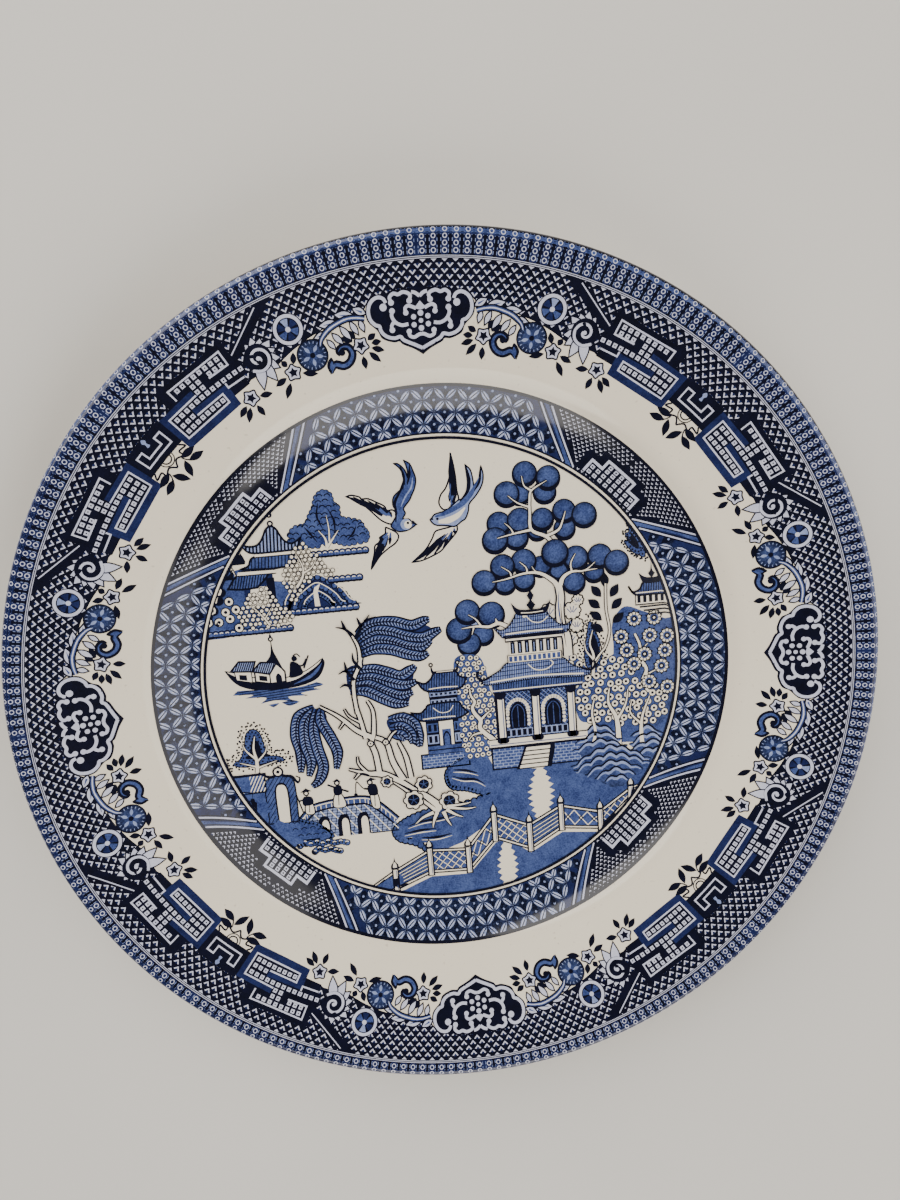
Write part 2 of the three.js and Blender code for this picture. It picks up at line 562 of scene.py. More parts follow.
rim_centre = (-0.88, -1.56)
eight_turns = [(-45 - 90 * k, mirror) for k in range(4) for mirror in (1, -1)]
four_turns = [(90 * k, 1) for k in range(4)]
cells_per_eighth = 32
ground_outer = 133.2


def over_edge(x, y):
    """Keeps a print point from running further round the rolled edge than the print does."""
    distance = math.hypot(x, y)
    limit = plate_radius + 1.4
    return (x, y) if distance <= limit else (x * limit / distance, y * limit / distance)


rim = Drawing(rim_centre, eight_turns, cell=2.6, reach=over_edge)


def at(degrees, radius):
    """A place given by its angle from the axis of the half pattern and its distance from the centre."""
    return radius * math.sin(math.radians(degrees)), radius * math.cos(math.radians(degrees))


def band(drawing, ink, inner, outer, degrees_a, degrees_b, steps):
    """A strip of the print between two radii, cut into short lengths."""
    level = drawing.level
    for step in range(steps):
        a = degrees_a + (degrees_b - degrees_a) * step / steps
        b = degrees_a + (degrees_b - degrees_a) * (step + 1) / steps
        drawing.level = level
        drawing.area(ink, [at(a, inner), at(a, outer), at(b, outer), at(b, inner)])


ground_line = [
    (0, 106.1), (17.2, 106), (18.2, 107), (20.4, 105.2), (23, 106.8), (25, 108), (28, 109.4), (30.5, 110.2),
    (33, 111.5), (36.4, 110.6), (37, 113), (39.5, 114.5), (45, 114.5)
]
ground_steps = 48


def ground_inner(degrees):
    """How near the centre the dark ground of the rim comes, at an angle from the fret axis."""
    for (a, ra), (b, rb) in zip(ground_line, ground_line[1:]):
        if degrees <= b:
            return ra + (rb - ra) * (degrees - a) / (b - a)
    return ground_line[-1][1]


for step in range(ground_steps):
    a, b = 45 * step / ground_steps, 45 * (step + 1) / ground_steps
    inner_a, inner_b = ground_inner(a), ground_inner(b)
    inner = max(inner_a, inner_b)
    radii = [inner + (124 - inner) * row / 6 for row in range(7)] + [124 + 0.4 * row for row in range(1, 24)]
    for low, high in zip(radii, radii[1:]):
        corners = [at(a, low), at(a, high), at(b, high), at(b, low)]
        if low == inner:
            corners[0], corners[3] = at(a, inner_a), at(b, inner_b)
        rim.level = 0
        rim.area("navy", corners)

# Beads: rows of small rings in columns, with broken lines between the columns.
bead_rows = (125.05, 126.85, 128.6, 130.3)
bead_sizes = (0.6, 0.58, 0.54, 0.58)
pitch = 45 / cells_per_eighth


def bead(degrees, radius, size):
    x, y = at(degrees, radius)
    rim.ring("white", x, y, size, 0.24, 10)


def bead_dash(ink, degrees, low, high, half=0.045):
    rim.area(ink, [
        at(degrees - half, low), at(degrees + half, low), at(degrees + half, high), at(degrees - half, high)
    ])


for step in range(cells_per_eighth):
    for row in range(21):
        rim.level = 1
        low = 124 + 0.32 * row
        corners = [
            at(step * pitch, low), at(step * pitch, low + 0.32), at((step + 1) * pitch, low + 0.32),
            at((step + 1) * pitch, low)
        ]
        rim.area("deep" if row < 17 else "blue", corners)
columns = [(k + 0.5) * pitch for k in range(cells_per_eighth)]
rim.level = 4
rim.many(bead, [(u, r, s) for u in columns for r, s in zip(bead_rows, bead_sizes)])
dashes = ((124.4, 125.3), (125.7, 126.3), (127.3, 128.1), (128.9, 129.7), (130.2, 131))
rim.level = 4
rim.many(bead_dash, [("pale", u + side * 0.47, a, b) for u in columns for side in (-1, 1) for a, b in dashes])
rim.level = 3
rim.many(bead_dash, [
    ("navy", k * pitch, 124 + 0.7 * j, 124.7 + 0.7 * j, 0.27)
    for k in range(1, cells_per_eighth)
    for j in range(9)
])
rim.level = 1
band(rim, "white", 123.66, 123.84, 0, 45, 24)
rim.level = 1
band(rim, "white", 123.2, 123.4, 0, 45, 24)

# Trellis: rows of chevrons, each row half a cell along from the last.
row_pitch = 1.48
trellis_top = 122.95


def chevron(drawing, degrees, radius):
    wide, deep, thick = 0.47, 1.08, 0.5
    drawing.area("white", [
        at(degrees, radius - deep), at(degrees + wide, radius), at(degrees + wide * 0.55, radius + 0.14),
        at(degrees, radius - deep + thick), at(degrees - wide * 0.55, radius + 0.14),
        at(degrees - wide, radius)
    ])
    drawing.level -= 1
    drawing.area("deep", [
        at(degrees - 0.2, radius + 0.06), at(degrees, radius - 0.38), at(degrees + 0.2, radius + 0.06),
        at(degrees, radius + 0.34)
    ])


def edge_tooth(degrees, radius):
    rim.area("white", [at(degrees - 0.38, radius), at(degrees, radius - 0.72), at(degrees + 0.38, radius)])


rim.level = 1
rim.many(edge_tooth, [((k + 0.5) * pitch, trellis_top) for k in range(cells_per_eighth)])
chevrons = []
for row in range(12):
    radius = trellis_top - 1.15 - row * row_pitch
    shift = 0 if row % 2 == 0 else 0.5
    for k in range(cells_per_eighth + 1):
        degrees = (k + shift) * pitch
        if 0.5 < degrees < 44.5 and radius - 0.9 > ground_inner(degrees):
            chevrons.append((rim, degrees, radius))
rim.level = 1
rim.many(chevron, chevrons)

# The fret panels: a navy panel and a middle-blue one that lap, each with a white-lined grid.
cell_pitch = 0.985
first_cell = 5.57


def panel(ink, corners):
    rim.area(ink, [at(u, r) for u, r in corners])


def white_path(corners, width=0.5):
    rim.straight("white", [at(u, r) for u, r in corners], width)


def grid_cell(column, radius):
    x, y = at(first_cell + cell_pitch * column, radius)
    out = at(first_cell + cell_pitch * column, 1)
    half = 0.62
    rim.area("white", [
        (x + out[1] * a * half + out[0] * b * half, y - out[0] * a * half + out[1] * b * half)
        for a, b in ((-1, -1), (1, -1), (1, 1), (-1, 1))
    ])
    rim.disc("navy", x, y, 0.24, 6)


rim.level = 2
panel("navy", [(0, 106.1), (3.7, 106.1), (3.7, 114.5), (0, 114.5)])
rim.level = 2
panel("navy", [(5.9, 106), (17.3, 106), (17.3, 119.4), (5.9, 119.4)])
panel("deep", [(3.7, 102.9), (14.4, 102.9), (14.4, 110), (10.2, 110), (10.2, 113.8), (3.7, 113.8)])
level = rim.level
for corners in (
    [(4.8, 105.2), (8.1, 105.2), (8.1, 111.8), (4.8, 111.8)],
    [(8.1, 109.8), (18, 109.8), (18, 111.8), (8.1, 111.8)],
    [(8.1, 105.2), (13.1, 105.2), (13.1, 107.8), (8.1, 107.8)],
    [(9.9, 111.8), (11.9, 111.8), (11.9, 113.9), (9.9, 113.9)]
):
    rim.level = level
    panel("navy", corners)
for path in (
    [(10, 112), (4.75, 112), (4.75, 105.15), (13.1, 105.15), (13.1, 107.9), (8.2, 107.9)],
    [(7.5, 114.2), (7.5, 117.4), (16.25, 117.4), (16.25, 113.3), (13, 113.3)],
    [(14.35, 109.7), (14.35, 108.3), (17.2, 108.3)],
    [(0, 109.5), (1.4, 109.5), (1.4, 112), (2.6, 112), (2.6, 107.95), (0, 107.95)]
):
    rim.level = level + 1
    white_path(path)
cells = [(k, 110.6) for k in range(13)] + [(k, 108.5) for k in range(3)] + [(k, 106.5) for k in range(8)]
cells += [(k, 116) for k in range(3, 11)] + [(k, 114.2) for k in (5, 6, 8, 9, 10)] + [(5, 112.4), (6, 112.4)]
rim.level = level + 1
rim.many(grid_cell, cells)

# The slanting bar, and the ringed disc beside it.
rim.level = 2
panel("navy", [(17.2, 112.6), (17.2, 115.3), (23.1, 123), (25.5, 123), (18.9, 113.4)])
white_path([(17.4, 114.7), (23.3, 122.3)], 0.34)
disc_x, disc_y = at(26, 113.6)
rim.level = 3
rim.target(disc_x, disc_y, ("navy", 4.35, 32), ("white", 4.07, 32), ("navy", 3.15, 28))
level = rim.level
for turn, ink in ((90, "pale"), (212, "blue"), (328, "blue"), (270, "deep"), (150, "deep"), (30, "deep")):
    rim.level = level
    turn -= 26
    rim.area(ink, [(disc_x, disc_y)] + arc(disc_x, disc_y, 2.85, turn - 22, turn + 22, 6))
rim.disc("white", disc_x, disc_y, 0.72, 12)

# The spiral scroll in its fringe of leaves.
scroll_x, scroll_y = at(20.35, 110.45)
rim.level = 3
for turn, length in (
    (104, 5.2), (78, 6), (52, 5.6), (26, 6.2), (0, 5.6), (-26, 6.2), (-52, 6.4), (-80, 7.8), (-112, 8.6),
    (130, 4.6)
):
    turn -= 20
    rim.leaf("white", scroll_x, scroll_y, turn, length, 3, 0.36)
rim.disc("navy", scroll_x, scroll_y, 3.95, 28)
spiral = []
for step in range(13):
    turn = math.radians(215 - 20 + step * 45)
    away = 3.75 - step * 0.29
    spiral.append((scroll_x + away * math.cos(turn), scroll_y + away * math.sin(turn)))
rim.line("white", spiral, (0.8, 0.8, 0.7, 0.5))
rim.disc("white", scroll_x, scroll_y, 0.6, 10)

# The round flower: middle blue, darker at its edge, with a pale star.
flower_x, flower_y = at(27.75, 104.85)
rim.level = 6
rim.disc("navy", flower_x, flower_y, 4.45, 30)
hub = (flower_x, flower_y)
edge_points = arc(flower_x, flower_y, 4.1, 0, 360, 30)
level = rim.level
for a, b in zip(edge_points, edge_points[1:]):
    rim.level = level
    rim.area("blue", [hub, a, b], [0.12, 0.78, 0.78])
for k in range(5):
    turn = 90 + 72 * k
    out = heading(turn)
    rim.level = level + 1
    rim.leaf("pale", flower_x + out[0] * 0.9, flower_y + out[1] * 0.9, turn, 2.2, 1)
for k in range(20):
    out = heading(18 * k)
    rim.level = level + 1
    rim.straight("pale", [
        (flower_x + out[0] * 3.2, flower_y + out[1] * 3.2),
        (flower_x + out[0] * 3.8, flower_y + out[1] * 3.8)
    ], 0.22)
rim.disc("navy", flower_x, flower_y, 0.75, 10)

# The acanthus leaf and the blue comma under it.
rim.level = 3
for u, r, turn, length, width in (
    (33.2, 110.6, 172, 6.2, 2.5), (35.6, 111, 158, 6.2, 2.6), (37.2, 111, 142, 4.4, 2.2),
    (31.2, 109, 184, 4.6, 2)
):
    x, y = at(u, r)
    rim.leaf("white", x, y, turn - 32, length, width, 0.42)
    out = heading(turn - 32)
    level = rim.level
    rim.straight("blue", [
        (x + out[0] * length * 0.3, y + out[1] * length * 0.3),
        (x + out[0] * length * 0.75, y + out[1] * length * 0.75)
    ], (0.6, 0.1))
    rim.level = level
for u, r, turn, length, width in (
    (30.6, 107.4, -64, 3.6, 1.5), (31.6, 108.6, -60, 4.4, 1.7), (33, 109.8, -66, 5, 1.8),
    (34.6, 110.3, -74, 4.4, 1.7), (36, 110.1, -84, 3.6, 1.6)
):
    x, y = at(u, r)
    rim.leaf("white", x, y, turn - 32, length, width, 0.36)
rib = [at(29.4, 106.6), at(30, 108.2), at(31.6, 110), at(33.9, 111), at(35.4, 110.8), at(36.8, 110)]
rim.line("navy", rib, (1.1, 1.9, 1.9, 1.6))
rim.line("blue", rib, (0.6, 1.1, 1.1, 0.9))
rim.line("white", rib, (0.2, 0.4, 0.4, 0.3))
comma = [at(u, r) for u, r in (
    (29.5, 98.4), (30.5, 100.3), (31.8, 99.3), (33, 99.9), (33.7, 101.9), (33.3, 103.8), (32.4, 104.3),
    (31.75, 103.5), (32, 102.6)
)]
rim.level = 6
rim.line("navy", comma, (0.5, 2.5, 2.4, 2.4, 2.3, 2.1, 2, 1.8))
rim.line("blue", comma, (0.1, 0.9, 1, 0.9, 0.7, 0.4, 0.3, 0.2))
x, y = at(32.15, 102.9)
rim.disc("navy", x, y, 0.95, 12)
rim.level = 6
rim.shape("navy", [at(30.3, 102.6), at(29.2, 100.8), at(29.3, 98.2) + (0,), at(30.4, 99.9)])
rim.shape("blue", [at(30.2, 101.6), at(29.6, 100.4), at(29.6, 99.2) + (0,), at(30.2, 100.1)])


# Small flowers with five petals and loose buds round them.
def spiked(x, y, spikes, outer, inner, tilt=0):
    """Points round a place, by turns at an outer and an inner distance from it."""
    points = []
    for k in range(2 * spikes):
        out = heading(tilt + 180 * k / spikes)
        away = inner if k % 2 else outer
        points.append((x + out[0] * away, y + out[1] * away))
    return points


def small_flower(u, r, tilt, buds):
    x, y = at(u, r)
    level = rim.level
    for turn, away, length in buds:
        out = heading(turn - u)
        rim.level = level
        rim.leaf("navy", x + out[0] * away, y + out[1] * away, turn - u, length * 1.12, 1.75)
    rim.shape("white", spiked(x, y, 5, 2.35, 1.75, tilt), 0.42)
    rim.shape("navy", spiked(x, y, 5, 1.45, 0.8, tilt), steps=3)


rim.level = 8
small_flower(16.15, 102.6, 18, ((205, 2.6, 3.4), (228, 2.6, 3.9), (273, 2.4, 3.3), (-20, 2.4, 3.4)))
rim.level = 8
small_flower(23.9, 102.8, 54, (
    (192, 2.4, 3.5), (228, 2.9, 4.2), (-28, 2.5, 4), (62, 2.2, 2.9), (110, 2.2, 2)
))
rim.level = 8
small_flower(35.3, 103.3, 12, (
    (118, 2.2, 2.9), (145, 2.5, 3.2), (24, 2.4, 2.6), (-2, 3, 2.6), (-25, 3, 3.4), (-52, 2.8, 3.9),
    (-92, 2.9, 3.3)
))

# The sprig under the bracket: half a daisy and its buds.
rim.level = 3
rim.line("navy", [
    at(0, 102.3) + (0,), at(0.9, 104), at(2.1, 103.3), at(2.2, 104.8), at(3.5, 104.6), at(2.9, 106.1)
], 0.5)
rim.straight("navy", arc(0, 106.2, 1.5, -90, 0, 6), 0.4)
rim.straight("navy", arc(0, 106.2, 2.3, -90, 0, 6), 0.3)
rim.leaf("navy", *at(1.5, 103.2), -8, 5.2, 2.1)
rim.line("navy", [at(1.6, 103), at(2, 101.6), at(2.6, 100.9)], 0.35)
rim.leaf("navy", *at(2, 101.2), -16, 5, 2.1)
rim.leaf("navy", *at(1.6, 102.2), -118, 5.2, 2.1)

# Half of the cartouche: navy, lined round with a thick white scroll.
cartouche_axis = 45


def from_cartouche(points):
    """Points given across and out from the cartouche's own axis, turned into the half pattern."""
    cos, sin = heading(-cartouche_axis)
    return [(p[0] * cos - p[1] * sin, p[0] * sin + p[1] * cos, *p[2:]) for p in points]


scroll_outline = [
    (-9.5, 112.5), (-10.1, 113.6), (-11.4, 114.1), (-12.9, 113.6), (-14.1, 112.2), (-14.5, 110.3),
    (-14.1, 108.4), (-12.9, 107), (-11.7, 106.5), (-11.5, 105.5), (-10.8, 104.4), (-9.5, 103.5),
    (-7.7, 103.1), (-6.1, 103.4), (-5.3, 102.5), (-3.8, 101.7), (-2, 100.9), (0, 99.9)
]
rim.level = 10
rim.shape("navy", from_cartouche([
    (0, 98.2, 0), (0, 116.2, 0), (-3.2, 115.9), (-8, 115.6), (-9.4, 114.8), (-11.4, 114.9), (-13.6, 113.9),
    (-15.2, 111.2), (-14.9, 108), (-12.4, 105.4), (-11.2, 103.2), (-8.2, 102), (-6.4, 102.1), (-5.6, 101.3),
    (-2.4, 99.8)
]))
scroll_work = [
    scroll_outline,
    [
        (-8, 112.6), (-8.3, 113.9), (-7.2, 114.8), (-5.9, 114.5), (-4.7, 115), (-3.5, 114.8), (-2.6, 114.1),
        (-2.8, 113)
    ],
    [(-2.2, 114.9), (-1.1, 114.6), (0, 113.7)],
    [(-7.9, 110.2), (-8.1, 109.1), (-7.7, 108), (-6.8, 107), (-5.3, 106.4), (-3.6, 106.6)],
    [(-8.2, 105.4), (-8.3, 106.4), (-7.6, 107.4)],
    [(-4.1, 109.7), (-4.2, 110.8), (-3.4, 111.4), (-2.5, 111.2), (-1.2, 110.6)],
    [(-3.5, 104.5), (-3.4, 103.5), (-2.2, 103), (-0.9, 103.6), (0, 103.8)]
]
for path in scroll_work:
    rim.line("white", from_cartouche(path), 0.95)
level = rim.level
for x, y, radius in (
    (-10.3, 111.4, 1), (-8, 112.5, 0.8), (-2.9, 112.7, 0.8), (-7.9, 110.3, 0.8), (-4.1, 109.6, 0.75),
    (-8.2, 105.3, 0.8), (-3.5, 104.6, 0.75), (-2, 108.4, 0.74), (-2, 106.3, 0.74)
):
    rim.level = level + 1
    (x, y), = from_cartouche([(x, y)])
    rim.disc("white", x, y, radius, 12)

# What lies on the axis of the cartouche and of the bracket is drawn whole.
axis = Drawing(rim_centre, four_turns, cell=3.0, reach=over_edge)
dab = Drawing(rim_centre, [(45 + 90 * k, 1) for k in range(4)], cell=3.0, reach=over_edge)
for row in range(0, 6, 2):
    for drawing in (axis, dab):
        drawing.level = 1
        chevron(drawing, 0, trellis_top - 1.15 - row * row_pitch)
axis.level = level + 1
axis.shape("white", [(0, 112.5, 0), (-0.9, 111.5), (-1.4, 110.7), (0, 110.2), (1.4, 110.7), (0.9, 111.5)])
for y, radius in ((109.3, 0.8), (107.3, 0.64), (105.3, 0.78)):
    axis.disc("white", 0, y, radius, 12)
dab.level = 6
dab.shape("pale", [
    (-0.5, 111.6), (-0.3, 112.6), (-0.7, 113.4), (0, 114.2), (0.7, 113.4), (0.3, 112.6), (0.5, 111.6)
])

lay_print("rim", [rim, axis, dab], rim_inks, "rim_border_print")

# ---------------------------------------------------------------------------------------------
# The border of the well. A second tissue print, up the wall from the floor to the verge: sectors
# of trellis behind four stepped cartouches, slanting bars, and a lattice of seeds between them.
scene_centre = (-1.93, -1.44)
verge_line_centre = (-1.60, -0.68)
verge_line_radius = 89.1


def kept_inside(centre, radius):
    """Makes a function that brings the print points outside a circle back onto it."""

    def reach(x, y):
        away = (x - centre[0], y - centre[1])
        distance = math.hypot(*away)
        if distance <= radius:
            return x, y
        return centre[0] + away[0] * radius / distance, centre[1] + away[1] * radius / distance

    return reach


well = Drawing(scene_centre, eight_turns, cell=0.8, reach=kept_inside(verge_line_centre, verge_line_radius))
well_axis = Drawing(scene_centre, four_turns, cell=0.8, reach=well.reach)
well_inner = 75.25
well_outer = 90.4
well_rows = 12


def bar_a(radius):
    return 12.2 + 0.739 * (radius - 76)


def bar_b(radius):
    return 9.4 + 0.774 * (radius - 76)


for row in range(well_rows):
    low = well_inner + (well_outer - well_inner) * row / well_rows
    high = well_inner + (well_outer - well_inner) * (row + 1) / well_rows
    for step in range(30):
        a, b = 1.5 * step, 1.5 * (step + 1)
        well.level = 0
        well.area("deep", [at(a, low), at(a, high), at(b, high), at(b, low)])
    for step in range(9):
        shares = step / 9, (step + 1) / 9
        well.level = 1
        well.area("navy", [
            at(bar_b(low) * shares[0], low), at(bar_b(high) * shares[0], high),
            at(bar_b(high) * shares[1], high), at(bar_b(low) * shares[1], low)
        ])


def small_chevron(degrees, radius):
    wide = 0.36
    well.area("white", [
        at(degrees, radius - 0.5), at(degrees + wide, radius), at(degrees + wide * 0.6, radius + 0.14),
        at(degrees, radius - 0.16), at(degrees - wide * 0.6, radius + 0.14), at(degrees - wide, radius)
    ])


for row in range(well_rows):
    low = well_inner + (well_outer - well_inner) * row / well_rows
    high = well_inner + (well_outer - well_inner) * (row + 1) / well_rows
    well.level = 1
    well.area("blue", [
        at(bar_b(low) + 0.45, low), at(bar_b(high) + 0.45, high), at(bar_a(high) - 0.45, high),
        at(bar_a(low) - 0.45, low)
    ])
small_chevrons = []
for row in range(15):
    radius = 89 - row * 0.9
    for k in range(19):
        degrees = (k + (0.5 if row % 2 else 0)) * 1.184
        if 0.4 < degrees < bar_b(radius) - 0.9:
            small_chevrons.append((degrees, radius))
well.level = 2
well.many(small_chevron, small_chevrons)
for bar in (bar_a, bar_b):
    well.level = 2
    well.straight("white", [at(bar(75.9), 75.9), at(bar(90), 90)], 0.5)
    well.level = 2
    well.straight("navy", [at(bar(75.9) - 0.5, 75.9), at(bar(90) - 0.5, 90)], 0.35)
    well.level = 2
    well.straight("navy", [at(bar(75.9) + 0.5, 75.9), at(bar(90) + 0.5, 90)], 0.35)


def seed(x, y, turn, length):
    """A pointed leaf of the lattice: pale, with a dark stem and a white light on each side of it."""
    along = heading(turn)

    def point(go, aside):
        return (
            x + along[0] * go * length / 2 - along[1] * aside,
            y + along[1] * go * length / 2 + along[0] * aside
        )

    outline = ((-1, 0), (-0.55, 0.6), (0, 0.82), (0.55, 0.6), (1, 0), (0.55, -0.6), (0, -0.82), (-0.55, -0.6))
    well.area("navy", [point(go * 1.1, aside * 1.32) for go, aside in outline])
    well.area("pale", [point(go, aside) for go, aside in outline])
    level = well.level
    well.straight("navy", [point(-0.9, 0), point(0.9, 0)], 0.3)
    for side in (-1, 1):
        well.level = level
        well.straight("white", [point(-0.55, 0.36 * side), point(0.55, 0.36 * side)], 0.22)


seed_step = 4.5
seed_rows = (74.5, 78.05, 81.6, 85.15, 88.7)
seeds = []
for j, radius in enumerate(seed_rows[:-1]):
    above = seed_rows[j + 1]
    for k in range(21):
        u = 45 - seed_step / 2 * k
        if k % 2 == j % 2:
            continue
        for side in (-1, 1):
            v = u + side * seed_step / 2
            if min(u - bar_a(radius), v - bar_a(above)) < 0.4 or max(u, v) > 45.01:
                continue
            low, high = at(u, radius), at(v, above)
            turn = math.degrees(math.atan2(high[1] - low[1], high[0] - low[0]))
            length = 4.4 if j else 3
            share = 0.5 if j else 0.66
            seeds.append((
                low[0] + (high[0] - low[0]) * share, low[1] + (high[1] - low[1]) * share, turn, length
            ))
cells = []
for j, radius in enumerate(seed_rows[1:]):
    for k in range(21):
        u = 45 - seed_step / 2 * k
        if k % 2 != j % 2 and u - 1.4 > bar_a(radius):
            cells.append((u, radius))


def seed_cell(drawing, degrees, radius):
    """The stippled diamond between four seeds, with a star at its middle."""
    low, high = (radius - 2.5 if radius > 79 else radius - 2), min(radius + 2.5, 88.6)
    corners = [at(degrees, low), at(degrees + 1.6, radius), at(degrees, high), at(degrees - 1.6, radius)]
    shades = [1, 0.55, 1, 0.55]
    if radius > 88:
        del corners[2], shades[2]
    drawing.area("blue", corners, shades)
    drawing.disc("pale", *at(degrees, radius), 0.4, 6)


well.level = 1
well.many(seed, seeds)
well.level = 1
well.many(seed_cell, [(well, u, radius) for u, radius in cells if u < 44.9])
for u, radius in cells:
    if u > 44.9:
        well_axis.level = 1
        seed_cell(well_axis, 0, radius)

# The stepped cartouche on each diagonal, with its grid of squares.
well.level = 3
well.area("navy", [(0, 75.9), (12.4, 75.9), (12.4, 82.3), (8.3, 82.3), (8.3, 85), (0, 85)])
well.straight("white", [(9.4, 76.2), (9.4, 80.3), (5.3, 80.3), (5.3, 83.2), (0, 83.2)], 0.85)


def well_square(x, y):
    well.block("white", x - 0.66, y - 0.56, x + 0.66, y + 0.56)
    well.block("navy", x - 0.27, y - 0.22, x + 0.27, y + 0.22)


squares = [
    (x, y) for y in (77.1, 78.8) for x in (1.14, 3.4, 5.66, 7.9)
] + [(x, y) for y in (80.5, 81.95) for x in (1.14, 3.4)]
well.level = 5
well.many(well_square, squares)

ring_sides = 240
well_lines = Drawing(scene_centre, cell=2.0)
well_lines.level = 3
well_lines.ring("navy", 0, 0, 75.5, 0.5, ring_sides)
verge_line = Drawing(verge_line_centre, cell=2.0)
verge_line.level = 9
verge_line.ring("navy", 0, 0, 88.75, 0.9, ring_sides)
lay_print(
    "well_border", [well, well_axis, well_lines, verge_line], rim_inks, "well_border_print"
)

# ---------------------------------------------------------------------------------------------
# The scene in the well: a third tissue print, engraved in lines and stipple. It starts with the
# ring round it, then goes from the far shore down to the fence at the front.
bare_glaze = Finish("bare_glaze_in_scene")
bare_glaze.surface(Base_Color=bare_glaze.blend(
    bare_glaze.noise(14, 4, 0.6), tint(236, 226, 208), tint(244, 236, 220)
))
glaze_surface(bare_glaze)
scene_inks = {
    "navy": navy_ink, "deep": deep_ink, "blue": blue_ink, "pale": pale_ink, "white": bare_glaze.material
}
scene_inner = 74.1
scene = Drawing((-0.98, -1.6), cell=5.0, reach=kept_inside(scene_centre, scene_inner))
scene_edge = Drawing(scene_centre, cell=2.0)
top_level = 50
scene_edge.level = top_level
scene_edge.ring("navy", 0, 0, scene_inner, 0.85, ring_sides)


def hatch(ink, outline, angle, spacing, width):
    """Engraved lines at an angle across an outline."""
    cos, sin = heading(-angle)
    turned = [(p[0] * cos - p[1] * sin, p[0] * sin + p[1] * cos) for p in outline]
    low, high = min(p[1] for p in turned), max(p[1] for p in turned)
    level = scene.level
    for k in range(1, int((high - low) / spacing) + 1):
        y = low + spacing * (k - 0.4)
        hits = []
        for a, b in zip(turned, turned[1:] + turned[:1]):
            if (a[1] > y) != (b[1] > y):
                hits.append(a[0] + (b[0] - a[0]) * (y - a[1]) / (b[1] - a[1]))
        hits.sort()
        for x0, x1 in zip(hits[::2], hits[1::2]):
            corners = [(x0, y - width / 2), (x1, y - width / 2), (x1, y + width / 2), (x0, y + width / 2)]
            scene.level = level
            scene.area(ink, [(x * cos + v * sin, -x * sin + v * cos) for x, v in corners])
    scene.level = level + 1


# Two swallows over the lake, each of body, two wings and a forked tail, feathered in lines.
def between(a, b, share):
    """The place that is a share of the way from a to b."""
    return a[0] + (b[0] - a[0]) * share, a[1] + (b[1] - a[1]) * share


def feathers(outline, root, tips):
    """Wing feathers: dark tapering strokes from near the root out to the tips."""
    scene.shape("white", outline, 0.5)
    for tip in tips:
        start = between(root, tip, 0.35)
        middle = between(start, tip, 0.5)
        scene.straight("navy", [start, middle, tip], (0.3, 1.05, 0.3))
    for tip in tips[1::2]:
        scene.straight("blue", [between(root, tip, 0.2), between(root, tip, 0.55)], (0.3, 0.8))


left_swallow_wing = [
    (-13.4, 49.6), (-16, 50.8), (-18, 52.8), (-20.5, 55.5), (-23, 57.5), (-26, 59, 0), (-24.5, 59.3),
    (-22.2, 58.6), (-21.5, 57.9), (-19.6, 57.8), (-17.3, 56.6), (-15, 55.2), (-14.2, 53.8), (-12.6, 53.8),
    (-11.4, 52.5), (-12.2, 51)
]
left_swallow_low_wing = [
    (-14.8, 48.6), (-12.2, 47), (-11.5, 45.5), (-12.6, 43.7), (-15, 42.2), (-17.5, 40.3), (-19, 38.5),
    (-20.6, 36.4, 0), (-20.2, 38.2), (-19.6, 40), (-19.2, 41.5), (-18.8, 43.5), (-17, 44.6), (-17.2, 45.8),
    (-15.5, 46.8), (-15.2, 48.3)
]
left_swallow_body = [
    (-5.9, 48.9), (-6.7, 48.2), (-8, 47.5), (-9.5, 47.1), (-11.5, 47.2), (-13.3, 48.6), (-13.2, 49.6),
    (-12.2, 51), (-11.4, 53), (-12.3, 55.2), (-12, 57.5), (-10.5, 59), (-9, 60), (-8.6, 61.5), (-8.5, 64),
    (-9.3, 66), (-10.9, 67.6, 0), (-9.5, 67.3), (-7.8, 65.3), (-7.3, 63.3, 0), (-7, 64.5), (-7.3, 66.5),
    (-7.9, 68.3, 0), (-6.3, 67.2), (-5.4, 65), (-4.8, 62.5), (-5.3, 60), (-6.3, 58), (-7.3, 56.2),
    (-9.2, 54), (-8.8, 52.5), (-9.6, 51.2), (-9.4, 50.7), (-7.9, 50.6), (-7, 49.6)
]
right_swallow_body = [
    (-1.5, 49.8, 0), (-0.8, 48.7), (0.3, 48), (1.8, 47.8), (4, 47.5), (6, 47.2), (8, 48.5), (9.3, 49.3),
    (10.3, 51.5), (10.8, 53.7), (13, 56), (15, 59), (15.6, 62), (15.1, 64.6, 0), (14.6, 62.5), (14, 60),
    (12.5, 59, 0), (12.3, 61.5), (11.8, 63.8), (10.4, 65.4, 0), (10.6, 63), (10.7, 60), (10.2, 57.5),
    (9, 55.4), (7.5, 55), (5, 53.2), (3.5, 52.2), (1.5, 51.7), (0, 51.3), (-0.9, 50.4)
]
right_swallow_wing = [
    (3.8, 52.5), (2.5, 52.8), (1.6, 54.6), (2.3, 57), (4, 59), (5.3, 62), (5.9, 65), (6.2, 69.4, 0),
    (6.8, 66), (7.2, 62), (7.3, 58), (7.6, 55.2), (6, 53.4)
]
right_swallow_low_wing = [
    (6, 47.5), (4, 47), (1.5, 46.6), (-0.3, 46), (-1.5, 43.8), (-3.5, 41), (-5.8, 39), (-8, 37.3, 0),
    (-5, 37.6), (-2, 38.6), (1, 40), (3, 42), (5, 44), (6.4, 45.7), (6.5, 47.3)
]
scene.level = 0
